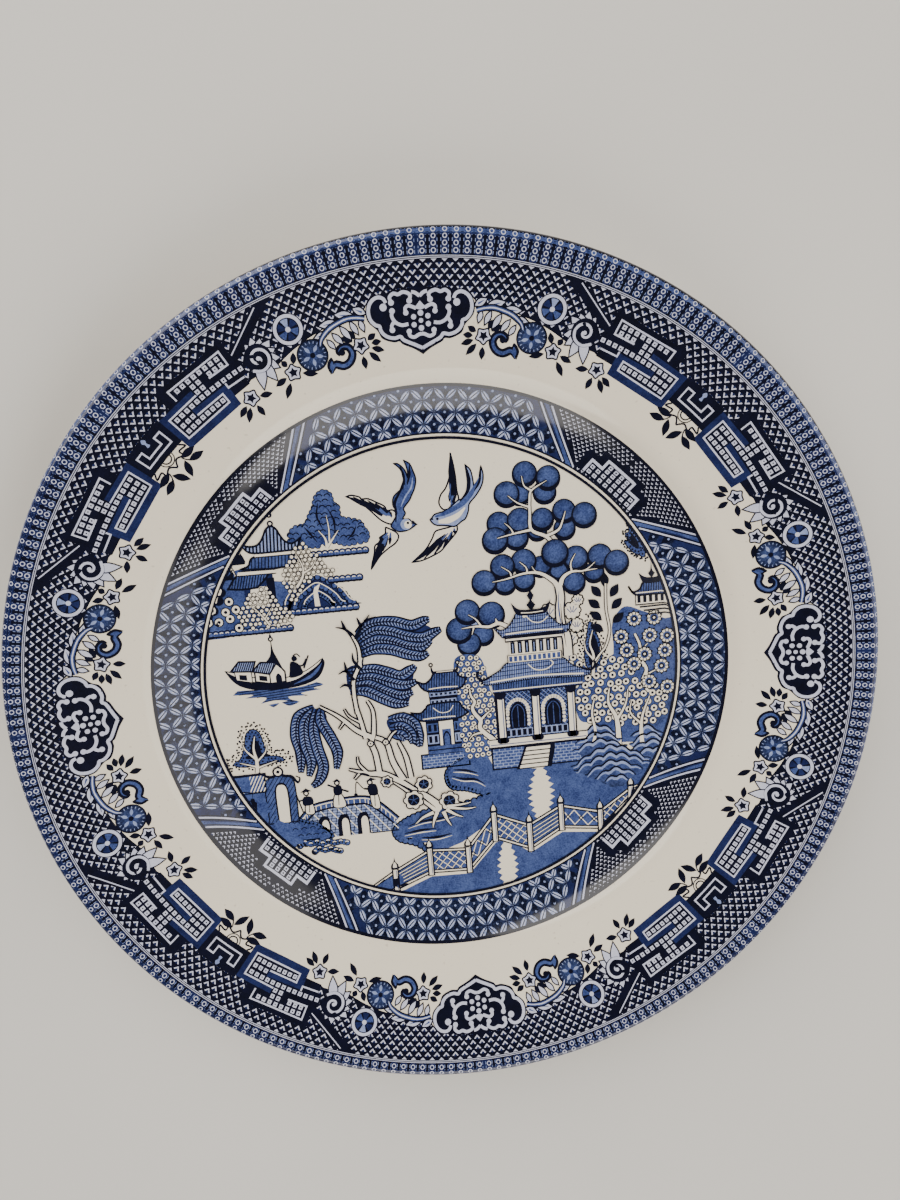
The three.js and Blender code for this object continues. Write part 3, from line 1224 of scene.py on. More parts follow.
feathers(left_swallow_wing, (-12.4, 50.8), [
    (-25.9, 59), (-24, 58.8), (-21.8, 58), (-19.8, 57.4), (-17.6, 56.4), (-15.4, 54.9), (-13.8, 53.8),
    (-22.5, 57.6)
])
scene.line("navy", [(-15.8, 52.4), (-18.4, 54.6), (-21, 56.8), (-25.8, 59)], (0.8, 1.3, 1, 0.2))
scene.level = 0
feathers(left_swallow_low_wing, (-13.6, 48), [
    (-20.5, 36.6), (-19.5, 39.6), (-18.9, 42), (-18.3, 43.6), (-17, 45.4), (-18.4, 39.4), (-16.6, 41.6),
    (-14.4, 43.4)
])
scene.line("navy", [(-16.8, 44), (-18, 41.6), (-19.4, 38.8), (-20.5, 36.6)], (2, 1.8, 1, 0.2))
scene.level = 24
scene.shape("blue", left_swallow_body, 0.42)
scene.line(
    "navy", [(-11.9, 50), (-11.6, 53.4), (-11.7, 56), (-9.6, 59.6), (-8.4, 62.5)], (0.3, 0.7, 0.9, 0.7, 0.4)
)
for side in (-1, 1):
    scene.line("navy", [
        (-7.9 + side * 0.4, 61), (-7.5 + side * 0.9, 64), (-7.8 + side * 1.5, 67)
    ], (0.3, 0.9, 0.1))
scene.line("pale", [(-10, 54.5), (-8.4, 57.4), (-6.4, 60), (-5.7, 63)], (0.2, 0.5, 0.5, 0.2))
scene.disc("pale", -8.9, 49.1, 1.7, 16)
scene.disc("white", -8.3, 49, 1.2, 14)
scene.disc("navy", -8.3, 49.5, 0.42, 8)
scene.line("navy", [(-7.1, 49.7), (-6.3, 49.2), (-5.4, 48.7)], (1.2, 0.7, 0.1))
scene.level = 0
feathers(right_swallow_wing, (4.6, 53), [
    (6.2, 69.2), (6.5, 66), (6.9, 62.5), (7.1, 59.5), (7.2, 57), (6.6, 55.4), (5.2, 58)
])
scene.line("navy", [(6.2, 56.5), (6.5, 60), (6.4, 64), (6.2, 69.2)], (1.8, 1.7, 1, 0.15))
scene.level = 0
feathers(right_swallow_low_wing, (5.6, 47), [
    (-7.8, 37.4), (-4.4, 38), (-1.4, 38.9), (1.6, 40.6), (3.8, 42.8), (5.6, 44.9), (-2.4, 41.4)
])
scene.line("navy", [(1.5, 43.6), (-2, 40.8), (-5, 38.8), (-7.8, 37.4)], (1.4, 1.2, 0.8, 0.15))
scene.level = 24
scene.shape("pale", right_swallow_body, 0.45)
scene.line(
    "blue", [(0, 50.6), (3, 51.3), (6, 52.6), (9, 54.2), (11.8, 57), (14.6, 61.6)],
    (0.4, 1.2, 1.6, 1.7, 1.4, 0.2)
)
scene.line("navy", [(8, 54.6), (10.6, 57.6), (11.2, 61), (10.7, 64.8)], (0.3, 1, 1.1, 0.15))
scene.line("navy", [(12.6, 57.4), (14.3, 60), (15.1, 64)], (0.2, 0.8, 0.15))
scene.line("white", [(1, 49), (4, 49.2), (7, 50.4), (9.4, 52.6)], (0.9, 2, 1.6, 0.4))
scene.disc("navy", 0.7, 49.9, 0.42, 8)
scene.line("navy", [(-0.6, 50.1), (-1.6, 49.8)], (0.9, 0.1))


# The great tree: balls of leaves stippled dark at the edge, on branches left bare in the print.
def ball(x, y, radius):
    """A ball of leaves, lightest above its middle and darkest under its lower edge."""
    sides = 22
    level = scene.level
    rings = ((0, 0, 0.22), (0.45, 0.1, 0.14), (0.8, 0.4, 0.05), (1, 0.85, 0))
    for (inner, shade_in, rise_in), (outer, shade_out, rise_out) in zip(rings, rings[1:]):
        for k in range(sides):
            a, b = heading(360 * k / sides), heading(360 * (k + 1) / sides)
            corners = []
            for spoke, reach, rise in (
                (a, outer, rise_out), (b, outer, rise_out), (b, inner, rise_in), (a, inner, rise_in)
            ):
                corners.append((x + spoke[0] * radius * reach, y + (spoke[1] * reach + rise) * radius))
            shades = [shade_out, shade_out, shade_in, shade_in]
            scene.level = level
            scene.area("blue", corners if inner else corners[:3], shades if inner else shades[:3])
    scene.straight("navy", arc(x, y, radius - 0.12, 60, 420, 26), (0.3, 0.25, 0.5, 1.3, 1.3, 0.5, 0.3))
    scene.level = level + 2


def branches(limbs, edge=0.3):
    """Bare wood with a dark outline: every outline lies under every limb."""
    for points, widths in limbs:
        scene.line("navy", points, tuple(width + 2 * edge for width in widths))
    for points, widths in limbs:
        scene.line("white", points, widths)


scene.level = 0
for place in (
    (26.3, 55.2, 3.3), (34, 55.3, 3.6), (24.5, 42, 3.7), (31, 43.5, 3), (39.5, 43.5, 3.4), (20, 28, 3.4),
    (26, 28.5, 3.4), (48, 29, 3.2), (37, 30.5, 3), (31.4, 32.4, 3.3), (28.2, 61.3, 3.8), (22.3, 55.6, 3.9),
    (35.3, 59.5, 3.7), (19.3, 46.8, 3.7), (25.8, 47.2, 3.9), (17.8, 41.8, 4), (32.8, 47, 3.5),
    (39.6, 49, 3.6), (45.8, 47.2, 3.9), (26.2, 34.5, 3.9), (19.5, 33.5, 3.8), (13.5, 29, 3.9),
    (42.5, 34, 3.9), (50, 34, 3.8), (55.2, 31.5, 3.9), (41.5, 26.5, 3.6)
):
    ball(*place)
branches((
    ([
        (36.7, 24), (35.4, 27), (31, 30.2), (26, 30.6), (20.5, 29.4), (16, 28.8)
    ], (2, 1.3, 0.9, 0.6, 0.4, 0.1)),
    ([(31.5, 30.2), (29.6, 31), (28.6, 32.6)], (0.5, 0.1)),
    ([(27, 30.5), (26.8, 32.4), (24.8, 34.4)], (0.6, 0.1)),
    ([(22, 30.2), (21.5, 31.6), (19, 33.4)], (0.5, 0.1)),
    ([(36.7, 24), (38, 28), (41, 29.8), (45, 29.8), (48.5, 32.2)], (1.8, 1.1, 0.7, 0.4, 0.1)),
    ([(41, 29.8), (40.8, 32.5), (42.4, 35.4)], (0.6, 0.1)), ([(45, 29.8), (49, 30)], (0.5, 0.1)),
    ([
        (35.6, 39.2), (33.5, 41.6), (29.2, 44), (29, 49), (29.2, 53), (30, 56), (34.8, 58.6)
    ], (1.1, 1, 0.9, 0.7, 0.6, 0.5, 0.1)),
    ([(29.9, 56), (27.8, 57.6), (27.2, 60.6)], (0.6, 0.1)),
    ([(29, 51), (25.4, 52.6), (22.6, 55)], (0.6, 0.1)),
    ([(33.5, 41.6), (37.5, 43.2), (39, 46), (40, 48.8)], (0.9, 0.15)),
    ([(29.2, 44), (24, 43.3), (18.5, 42.3)], (0.8, 0.15)),
    ([(23.5, 43.4), (22.8, 45), (21, 46.8)], (0.5, 0.1)),
))
ball(36, 36.3, 4.2)

# A second clump of the same tree, low on the left of the pagoda.
scene.level = 0
scene.disc("pale", 9.5, 16, 2, 16)
for place in ((12, 12.5, 3.4), (7.4, 10, 3.7), (4.6, 14.7, 4.1), (7.6, 20.3, 3.9), (15, 18.6, 4.2)):
    ball(*place)
branches((
    ([(19.6, 14.4), (17, 15.6), (14, 14.8), (10, 15.3), (5.4, 15)], (1.2, 1, 0.7, 0.1)),
    ([(11.5, 15.3), (10, 17.6), (7.8, 19.2)], (0.6, 0.1)), ([(9.2, 15), (8.5, 12.8)], (0.5, 0.1)),
    ([(16.6, 15.8), (16.2, 17.2)], (1, 0.1))
))


# The willow: a leaning trunk that forks, with long plumes of leaves, each leaf a light tick.
def plume(points, width=3.5):
    """A plume of the willow: a dark-edged ribbon with a comb of leaves down each side."""
    scene.line("navy", points, (width * 0.8, width + 1, width + 1, width + 0.9, width * 0.6))
    scene.line("blue", points, (width * 0.45, width, width, width * 0.9, width * 0.3))
    path = curved(points)
    lengths = [0]
    for a, b in zip(path, path[1:]):
        lengths.append(lengths[-1] + math.dist(a, b))
    level = scene.level
    steps = int(lengths[-1] / 0.5)
    for k in range(2, steps):
        away = lengths[-1] * k / steps
        i = min(bisect.bisect_right(lengths, away), len(path) - 1)
        a, b = path[i - 1], path[i]
        share = (away - lengths[i - 1]) / max(lengths[i] - lengths[i - 1], 1e-6)
        x, y = between(a, b, share)
        turn = math.degrees(math.atan2(b[1] - a[1], b[0] - a[0]))
        reach = width * 0.5 * (1 - 0.55 * abs(2 * k / steps - 1) ** 4)
        for side in (-1, 1):
            out = heading(turn + side * 55)
            scene.level = level
            scene.straight(
                "pale" if k % 2 else "navy",
                [(x + out[0] * 0.25, y + out[1] * 0.25), (x + out[0] * reach, y + out[1] * reach)],
                (0.24, 0.2) if k % 2 else (0.4, 0.26)
            )
    scene.level = level + 1
    scene.line("navy", points, 0.42)


for mass in (
    [
        (-27.5, 17), (-22, 20.4), (-15, 20.4), (-9, 18.4), (-5, 17), (-3, 14), (-7.6, 8.4), (-14, 8.8),
        (-21, 10), (-27, 10)
    ],
    [
        (-31, 6), (-24, 6.4), (-17, 4), (-11, 3.4), (-11.5, -1), (-13.5, -7.4), (-19, -6.8), (-26, -3.2),
        (-31, -1.5)
    ],
    [(-20.5, -12.2), (-15, -10.6), (-11.4, -13), (-10.6, -22), (-14.6, -19.6), (-18.8, -17.4)],
    [(-42, -6), (-48, -7.6), (-50, -14), (-49.8, -25), (-46, -20), (-42, -14), (-39, -9)]
):
    scene.level = 0
    scene.shape("deep", mass)
plumes = (
    [(-27, 16.5), (-24, 18.8), (-20, 19.6), (-15, 19.2), (-10, 17.6), (-6, 18.8), (-4.3, 19)],
    [(-27, 14.2), (-22, 17), (-17, 16.4), (-12, 14.4), (-7, 13.4), (-3, 14.9), (-1, 15.6)],
    [(-27, 12), (-22, 14), (-17, 13.3), (-12, 11.2), (-7.4, 10.6), (-4.4, 12.2)],
    [(-26.6, 9.8), (-22, 11.2), (-17, 10.6), (-12, 8.6), (-8, 7.6), (-5.5, 8.4)],
    [(-31, 4.8), (-24, 5), (-19, 3.5), (-15, 1.9), (-11.5, 3.5), (-10, 4.8)],
    [(-31, 2.4), (-24, 2.2), (-18.6, 0.2), (-14, -1.2), (-10, -0.4)],
    [(-30.6, 0.2), (-25, 0), (-20, -2.6), (-15.6, -4.4), (-11.4, -3.8)],
    [(-31, -1.6), (-26, -2), (-21, -4.9), (-17, -6.9), (-13, -7.3)],
    [(-42.6, -5.5), (-47.6, -8), (-49.2, -14), (-48.3, -20), (-49, -26.5)],
    [(-42.4, -6), (-46, -10), (-46.6, -17), (-45.4, -23), (-46.6, -28)],
    [(-42, -6), (-43.6, -12), (-43, -19), (-41.8, -25), (-43.5, -29.5), (-46, -31.5)],
    [(-40.5, -6), (-41, -10), (-38.5, -16), (-36.9, -21), (-37.8, -26.5)],
    [(-20, -12), (-15.4, -11.8), (-12, -14.2), (-11, -18.4), (-10.8, -22)],
    [(-19.6, -14.6), (-15.8, -14.8), (-13.2, -17.6), (-13, -20.8)],
    [(-19.2, -17), (-16.4, -17.4), (-15, -19.2)],
)
for points in plumes:
    plume(points, 2.9)
branches((
    ([(-27, 6), (-27, 12), (-28.5, 16), (-29.5, 17.4)], (0.9, 0.6, 0.1)),
    ([(-29.4, -9), (-29.8, -3), (-29.5, 2), (-27.6, 6), (-26.5, 9)], (0.9, 0.9, 0.8)),
    ([(-17.5, -19.5), (-15.5, -25), (-14.5, -32)], (0.6, 1.2, 1.3)),
    ([(-27.6, -17.4), (-28.5, -12), (-29.5, -7), (-30, -3)], (1.1, 0.7)),
    ([(-28.6, -12), (-32, -9.6), (-33.4, -7)], (0.5, 0.1)),
    ([(-26, -5), (-24.5, -9), (-25, -16), (-26, -19), (-25, -23), (-24.3, -30)], (0.4, 1, 1.3, 1.5)),
    ([(-25, -17.5), (-30, -14.5), (-34, -10.5), (-37, -8), (-41, -5.3)], (1.5, 1, 0.3)),
    ([(-33.6, -11), (-35.6, -13.4)], (0.5, 0.1)),
    ([(-17, -32.5), (-19.8, -26), (-21.3, -19.5), (-24.5, -17.3)], (1.8, 1.3, 1)),
    ([(-21.4, -20), (-19.4, -17), (-17.8, -15.8)], (0.8, 0.2)),
    ([
        (-6, -44), (-10, -40), (-14, -37), (-18, -33.5), (-23, -30), (-28, -29), (-34, -27)
    ], (3.6, 3, 2.4, 1.5, 0.2)),
    ([(-30.4, -28.4), (-32.6, -30.6)], (0.7, 0.1)),
    ([(-28, -29), (-30.6, -25.6), (-30.8, -23)], (0.8, 0.1)),
), 0.5)
twigs = (
    [(-27.6, 15), (-25.4, 19), (-22.6, 22.4)], [(-25.6, 18.8), (-26.6, 21.8)],
    [(-24.4, 20.4), (-20.6, 21.6)], [(-28.6, 16.2), (-30.5, 18.5), (-33.4, 19.4)],
    [(-30.6, 18.6), (-31.4, 21.4)], [(-29.3, 2), (-31.6, 5.2), (-34, 4.4)], [(-31.4, 4.8), (-31.8, 8.2)],
    [(-30.2, 0), (-32.4, 0.8), (-34, 0)], [(-27.2, 5.6), (-29, 8.4), (-29, 10.8)]
)
scene.many(scene.line, [("navy", twig, (1.1, 0.8, 0.2)) for twig in twigs])
for points in ([(-22, -31.4), (-17, -34.8), (-12, -38.8), (-7.6, -43)], [(-27.6, -29.6), (-31, -28.6)]):
    scene.line("navy", points, (0.1, 1, 0.1))
for x, y in ((-26.3, -19.2), (-21.5, -19.2)):
    scene.target(x, y, ("navy", 1.2, 12), ("white", 0.75, 10), ("navy", 0.3, 8))
flowers_level = scene.level
for x, y, radius in ((-22.3, -32.4, 1.7), (-10.7, -34.6, 2.4), (-14.4, -39.6, 2.8), (-3, -41.2, 2.8)):
    scene.level = flowers_level
    petals = []
    for k in range(28):
        out = heading(360 * k / 28)
        away = radius * (0.98 + 0.2 * abs(math.sin(math.pi * k / 4)))
        petals.append((x + out[0] * away, y + out[1] * away))
    scene.shape("white", petals, 0.42)
    scene.disc("navy", x, y, radius * 0.72, 14)
    for k in range(5):
        out = heading(72 * k + 20)
        scene.straight("blue", [(x, y), (x + out[0] * radius * 0.6, y + out[1] * radius * 0.6)], 0.22)
branches((
    ([(-8.4, -44.6), (-12, -46), (-14.5, -48)], (1.2, 0.1)),
    ([(-7.2, -44.6), (-8.5, -47.5), (-9, -49.8)], (1.3, 0.1)),
    ([(-5.2, -44.6), (-4.2, -47.5), (-3, -49.8)], (1.3, 0.1)),
    ([(-4.2, -44), (-1.5, -46), (1, -47.2)], (1.2, 0.1)),
    ([(-3.6, -43.4), (2, -44.5), (5.5, -44.3)], (1, 0.1)),
    ([(-4, -43), (1.5, -42.8), (4, -42.4)], (0.9, 0.1))
), 0.3)

# The bridge with three arches, and the three figures crossing it.
scene.level = 0
wall_outline = [
    (-50.8, -42.6), (-45.5, -39.3), (-38, -38.6), (-30, -38.6), (-26, -41), (-20.5, -46.6), (-20, -49.4),
    (-50.6, -49.4)
]
scene.area("pale", wall_outline)
hatch("navy", wall_outline, 0, 0.95, 0.22)
hatch("navy", wall_outline, 78, 1.5, 0.26)
hatch("white", wall_outline, -52, 2.3, 0.3)
deck = [(-51.5, -44), (-48, -40.4), (-45.5, -38.8), (-38, -37.8), (-30, -37.9), (-26, -40.2), (-20.5, -46)]
scene.line("navy", deck, 3.2)
scene.line("blue", deck, 2)
scene.line("white", [(x, y + 0.55) for x, y in deck], 0.35)
level = scene.level
for k in range(26):
    scene.level = level
    share = (k + 0.5) / 26 * (len(deck) - 1)
    i = int(share)
    x, y = between(deck[i], deck[i + 1], share - i)
    scene.straight("white", [(x, y - 0.9), (x, y + 0.4)], 0.24)
for x in (-43.3, -37, -30.8):
    level = scene.level
    scene.shape("navy", [
        (x - 2.2, -49.4, 0), (x - 2.2, -44), (x - 0.6, -42), (x + 1.5, -43), (x + 1.8, -49.4, 0)
    ])
    scene.shape("white", [
        (x - 0.9, -49.5, 0), (x - 0.9, -44.6), (x + 0.2, -43.3), (x + 1.2, -44.6), (x + 1.3, -49.5, 0)
    ])
    scene.level = level
scene.level += 2
scene.straight("navy", [(-50.8, -49.4), (-45.4, -49.4)], 0.4)
scene.straight("navy", [(-29, -49.4), (-20, -49.4)], 0.4)
figures = scene.level + 2
for robe, skirt, head, hat in (
    (
        [(-49.2, -34.9), (-46.6, -35), (-46.4, -37.4), (-49.4, -37.6)],
        [(-48.6, -37), (-46.6, -37), (-46.2, -40.6), (-48.9, -40.4)], (-48.2, -33.6),
        [(-50, -33.2), (-48.2, -31.9), (-46.4, -33)]
    ),
    (
        [(-39.4, -32.6), (-37.1, -32.2), (-37, -35), (-39.2, -35.2)],
        [(-39.2, -34.9), (-37.2, -34.9), (-36, -39.2), (-39.9, -39.2)], (-38.2, -31.2),
        [(-39.6, -30.6), (-38, -29.8), (-36.9, -30.9)]
    ),
    (
        [(-28.6, -33.4), (-26, -33), (-25.6, -36.4), (-28.2, -36.4)],
        [(-28, -36), (-25.8, -36), (-25.2, -41), (-27.6, -40.6)], (-27.8, -32.2),
        [(-29.2, -31.8), (-27.4, -30.6), (-25.6, -31.4)]
    ),
):
    scene.level = figures
    scene.shape("white", skirt, 0.35)
    scene.shape("navy", robe)
    scene.disc("navy", *head, 0.95, 12)
    scene.disc("white", *head, 0.5, 8)
    scene.area("navy", hat)
    middle = sum(p[0] for p in skirt) / 4
    scene.line("navy", [(middle, skirt[0][1] - 0.5), (middle - 0.2, skirt[2][1] + 0.5)], 0.25)
for points, width in (
    ([(-51.3, -33.6), (-50.6, -36.6), (-49.7, -40)], 0.4), ([(-49, -35.6), (-50.8, -36)], 0.5),
    ([(-41.2, -31.5), (-38.4, -32.9), (-34.8, -34.5)], 0.6),
    ([(-28, -34), (-30, -34), (-32, -31.6), (-32.6, -35.6)], 0.3), ([(-28, -34.4), (-29.8, -34.1)], 0.6)
):
    scene.level = figures + 7
    scene.line("navy", points, width)
scene.disc("navy", -32.6, -35.9, 0.6, 10)

# The house boat: hull, two cabins under hipped roofs, a spire, the boatman and his oar.
scene.level = 0
for outline in (
    [
        (-65.4, 2.2, 0), (-60, 2), (-54, 1.5), (-46, 1.6), (-41, 2.6, 0), (-39, 1.6), (-42, 0.8),
        (-39.8, 0.2, 0), (-46, -0.4), (-44, -1.4, 0), (-50, -1.2), (-48.6, -2.8, 0), (-54, -2),
        (-58.8, -2.6, 0), (-57, -0.8), (-63.4, -0.4, 0), (-60.8, 0.5), (-67, 0.9, 0)
    ],
    [(-52.4, -2.8, 0), (-49, -2.4), (-46.8, -3.2, 0), (-50, -4.2)],
    [(-56.6, -3.2, 0), (-53.2, -3), (-55, -4.2, 0)]
):
    scene.level = 0
    scene.shape("blue", outline)
    hatch("navy", curved(outline, True), 3, 0.8, 0.26)
scene.level = 3
hull = [
    (-68.6, 8.9, 0), (-66.3, 7.4), (-63, 5.5), (-58, 4.2), (-53, 3.5), (-48, 3.9), (-44, 5.6), (-40, 8.1),
    (-38.4, 10.2, 0), (-37.8, 8.5), (-39, 5.5), (-41, 3.5), (-45, 2.1), (-50, 1.5), (-55, 1.5), (-60, 2),
    (-64, 3.4), (-66.5, 5.5)
]
scene.shape("white", [
    (-68.3, 8.8, 0), (-65.5, 8), (-60, 6), (-54, 5), (-48, 5.3), (-43, 7), (-38.4, 10, 0), (-40, 7.5),
    (-44, 5), (-48, 3.3), (-53, 3), (-58, 3.7), (-63, 5), (-66.5, 7)
], 0.3)
scene.shape("navy", hull)
scene.line("blue", [(-48, 2.6), (-43, 4.4), (-40.4, 6.4), (-38.7, 8.6)], (0.1, 1, 0.9, 0.1))
scene.area("white", [(-66, 8.8), (-60.5, 8.2), (-60.5, 4.4), (-65.2, 5.6)])
scene.straight("navy", [(-65.8, 8.8), (-65.2, 5.6), (-60.5, 4.4), (-60.5, 8.2)], 0.3)
scene.area("navy", [(-64.3, 7.3), (-62, 7), (-62, 5.2), (-64.3, 5.7)])


def cabin_roof(outline):
    """A hipped roof of the boat, thatched in pale lines."""
    scene.area("navy", outline)
    hatch("pale", outline, 66, 0.62, 0.26)
    scene.line("navy", outline, 0.55, True, False)


cabin_roof([(-66.8, 8.5), (-64, 11.4), (-59, 11), (-60.2, 7.9)])
scene.area("white", [
    (-59.5, 8.2), (-55, 6.9), (-52.5, 9.8), (-50.3, 7), (-50.3, 3.8), (-55, 3.6), (-59.5, 4.6)
])
scene.straight("navy", [(-59.5, 8.2), (-59.5, 4.6), (-55, 3.6), (-50.3, 3.8), (-50.3, 7), (-52.5, 10.1)], 0.5)
scene.straight("navy", [(-55, 6.9), (-55, 3.6)], 0.4)
scene.area("navy", [(-58.3, 6.5), (-55.9, 6), (-55.9, 4.4), (-58.3, 4.9)])
cabin_roof([(-60.2, 7.9), (-57.5, 10.6), (-52.5, 10.1), (-55, 6.6)])
scene.shape("navy", [(-53.2, 3.9, 0), (-53.2, 5.6), (-52.4, 6.6), (-51.5, 5.6), (-51.4, 3.9, 0)])
scene.shape("navy", [
    (-53.5, 18, 0), (-54, 13), (-55.6, 10.6, 0), (-53.4, 10), (-50.4, 7, 0), (-52.2, 11.6), (-53.1, 14)
])
scene.target(-53.5, 17.6, ("navy", 0.8, 12), ("white", 0.35, 8))
scene.area("navy", [(-53.9, 18.2), (-53.1, 18.2), (-53.5, 19.6)])
scene.shape("navy", [(-48.2, 9.8), (-46.4, 9.4), (-45.2, 7.8), (-45, 5.6), (-48.8, 4.8), (-48.8, 7)])
scene.disc("navy", -47, 10.8, 0.9, 10)
scene.line("navy", [(-47.4, 11.6), (-46.2, 12.2), (-45.2, 11.2)], 0.35)
scene.line("navy", [(-46.2, 8.6), (-44.6, 8.4), (-43.4, 10.4)], 0.5)
scene.line("navy", [(-42.6, 11.4), (-44.4, 7.4)], 0.45)


# The far island at the top left: a temple with hatched roofs among blossom, bushes and a mountain,
# over layered banks with scalloped edges.
def bank(x0, x1, y):
    """A bank seen end on: a dark rope of bumps with a light line along each."""
    high, wide = 2, 1.75
    count = max(2, round(abs(x1 - x0) / wide))
    step = (x1 - x0) / count
    level = scene.level
    for ink, radius, lift in (("navy", 0.62, 0), ("blue", 0.45, 1)):
        for k in range(count):
            scene.level = level + 2 * lift + (k % 2)
            scene.disc(ink, x0 + step * (k + 0.5), y, high * radius, 12)
    scene.level = level + 4
    for k in range(count):
        cx = x0 + step * (k + 0.5)
        scene.level = level + 4
        scene.straight("white", arc(cx, y - 0.1, high * 0.3, 35, 145, 4), 0.26)
    scene.level = level + 5
    scene.straight("navy", [(x0, y - high * 0.42), (x1, y - high * 0.42)], 0.55)


def blossom(x, y, radius=1.25, rim_width=0.3):
    """A ring blossom: white with a dark rim and a dark eye."""
    level = scene.level
    scene.target(x, y, ("navy", radius, 12), ("white", radius - rim_width, 12), ("navy", radius * 0.36, 8))
    scene.level = level


def scattered(outline, apart, jitter, seed):
    """Places in staggered rows that fill an outline, each shifted a little."""
    chance = random.Random(seed)
    low = [min(p[axis] for p in outline) for axis in (0, 1)]
    high = [max(p[axis] for p in outline) for axis in (0, 1)]
    places = []
    for row in range(int((high[1] - low[1]) / (apart * 0.87)) + 1):
        for column in range(int((high[0] - low[0]) / apart) + 2):
            x = low[0] + (column + 0.5 * (row % 2)) * apart + chance.uniform(-jitter, jitter) * apart
            y = low[1] + row * apart * 0.87 + chance.uniform(-jitter, jitter) * apart
            inside = False
            for a, b in zip(outline, outline[1:] + outline[:1]):
                if (a[1] > y) != (b[1] > y) and x < a[0] + (b[0] - a[0]) * (y - a[1]) / (b[1] - a[1]):
                    inside = not inside
            if inside:
                places.append((x, y))
    return places


def berries(outline, apart, seed):
    """Foliage of small round leaves, white on a dark ground."""
    radius = 0.52
    level = scene.level
    places = scattered(outline, apart, 0.12, seed)
    for x, y in places:
        scene.level = level
        scene.disc("navy", x, y, radius + 0.22, 8)
    for x, y in places:
        scene.level = level + 1
        scene.disc("white", x, y, radius, 8)
    scene.level = level + 2


def roof(outline, tiles, spacing, ink="navy", ground="blue", width=0.32):
    """A tiled roof with turned-up eaves, its tiles drawn as close lines."""
    scene.shape(ground, outline, 0.62)
    hatch(ink, curved(outline, True), tiles, spacing, width)


scene.level = 0
mountain = [
    (-44, 45.5, 0), (-44, 49), (-42, 51), (-39, 51.5), (-37.5, 54), (-36, 56.5), (-35, 59.5), (-33, 61),
    (-31, 60), (-30.5, 57.5), (-29, 56), (-28.8, 53), (-26, 52), (-23, 51), (-22, 49), (-21, 47.5),
    (-21.5, 45.5), (-25, 45), (-28, 45), (-31, 46), (-36, 45), (-39, 45.4), (-42, 45)
]
for x, y in curved(mountain, True, 2):
    scene.level = 0
    scene.disc("navy", x, y, 1, 10)
    scene.level = 1
    scene.disc("blue", x, y, 0.75, 10)
scene.level = 2
scene.area("blue", curved(mountain, True))
for x, y in scattered(curved(mountain, True), 2.1, 0.2, 5):
    scene.level = 3
    scene.straight("navy", arc(x, y, 0.95, 20, 160, 5), 0.34)
for fold in (
    [(-36, 46), (-38, 49), (-39.5, 51)], [(-34, 50), (-35.4, 54), (-34.6, 58)],
    [(-30.6, 47), (-30.4, 52), (-32, 56)], [(-27, 46), (-25, 48), (-24, 50)]
):
    scene.level = 4
    scene.line("navy", fold, (0.1, 0.7, 0.1))
scene.level = 5
branches((
    ([(-33.3, 44.3), (-33.6, 47), (-35.4, 49.6)], (0.9, 0.1)),
    ([(-33.3, 44.3), (-31.6, 46.4), (-29.4, 49.2)], (0.9, 0.1)),
    ([(-32.4, 46), (-32.2, 50), (-32.6, 54)], (0.5, 0.1))
), 0.12)
hill = [(-48, 25.6), (-47, 29), (-43, 32.6), (-38, 35.3), (-34, 33.5), (-30, 30), (-28, 27), (-25.6, 25.8)]
scene.level = 0
for shrink in (1, 0.72, 0.44):
    ridge = [(-37.5 + (x + 37.5) * shrink, 26.2 + (y - 26) * shrink) for x, y in hill]
    scene.shape("deep", ridge)
    edge = curved(ridge)
    level = scene.level
    for k in range(2, len(edge) - 2, 2):
        scene.level = level
        scene.disc("navy", *edge[k], 1.05, 9)
        scene.disc("blue", *edge[k], 0.72, 9)
    scene.straight("white", [(x, y + 0.9) for x, y in edge[2:-2]], 0.3)
scene.area("white", [(-38.8, 26.5), (-37.2, 26.5), (-37.6, 31), (-36.6, 33.4), (-38.4, 32.4), (-38.9, 31)])
shore = [(-74, 34), (-66, 37), (-60, 40), (-52, 36), (-45, 34), (-46, 27), (-49, 24), (-56, 21), (-74, 20)]
scene.level = 0
scene.shape("blue", shore)
rocks_level = scene.level
for x, y, radius in (
    (-62, 47.5, 2.6), (-65, 44, 2.8), (-68, 40.6, 2.6), (-70.4, 36.6, 2.4), (-60.6, 43.6, 2.2),
    (-64, 39.6, 2.6)
):
    scene.level = rocks_level
    scene.shape("navy", [
        (x - radius, y - radius, 0), (x - radius * 0.6, y + radius * 0.6),
        (x + radius * 0.4, y + radius * 0.8), (x + radius * 1.1, y - radius * 0.5),
        (x + radius, y - radius, 0)
    ])
    scene.line("white", [
        (x - radius * 0.6, y + radius * 0.35), (x + radius * 0.3, y + radius * 0.5),
        (x + radius * 0.9, y - radius * 0.6)
    ], (0.3, 0.9, 0.3))
    scene.line("blue", [
        (x - radius * 0.4, y - radius * 0.5), (x + radius * 0.4, y - radius * 0.1)
    ], (0.4, 1.3, 0.4))
for x0, x1, y in ((-38.5, -21, 42.4), (-34, -23.6, 34.3), (-48.5, -25.6, 25.2), (-74, -46.2, 20.6)):
    scene.level = 10
    bank(x0, x1, y)
scene.level = 18
scene.block("deep", -59.5, 28, -50.5, 38.5)
scene.area("white", [(-58.6, 28), (-52.4, 28), (-52.4, 34.2), (-57.4, 34.2)])
scene.block("navy", -52.6, 29, -50.2, 36.6)
roof([(-64.2, 34.3, 0), (-60.2, 38.6), (-51.6, 38.6), (-55.4, 34, 0), (-60, 33.8)], 74, 0.8)
scene.area("white", [(-61.2, 38), (-49.4, 37.9), (-49.4, 39.1), (-60.6, 39.3)])
scene.straight("navy", [(-61.2, 38), (-49.4, 37.9)], 0.32)
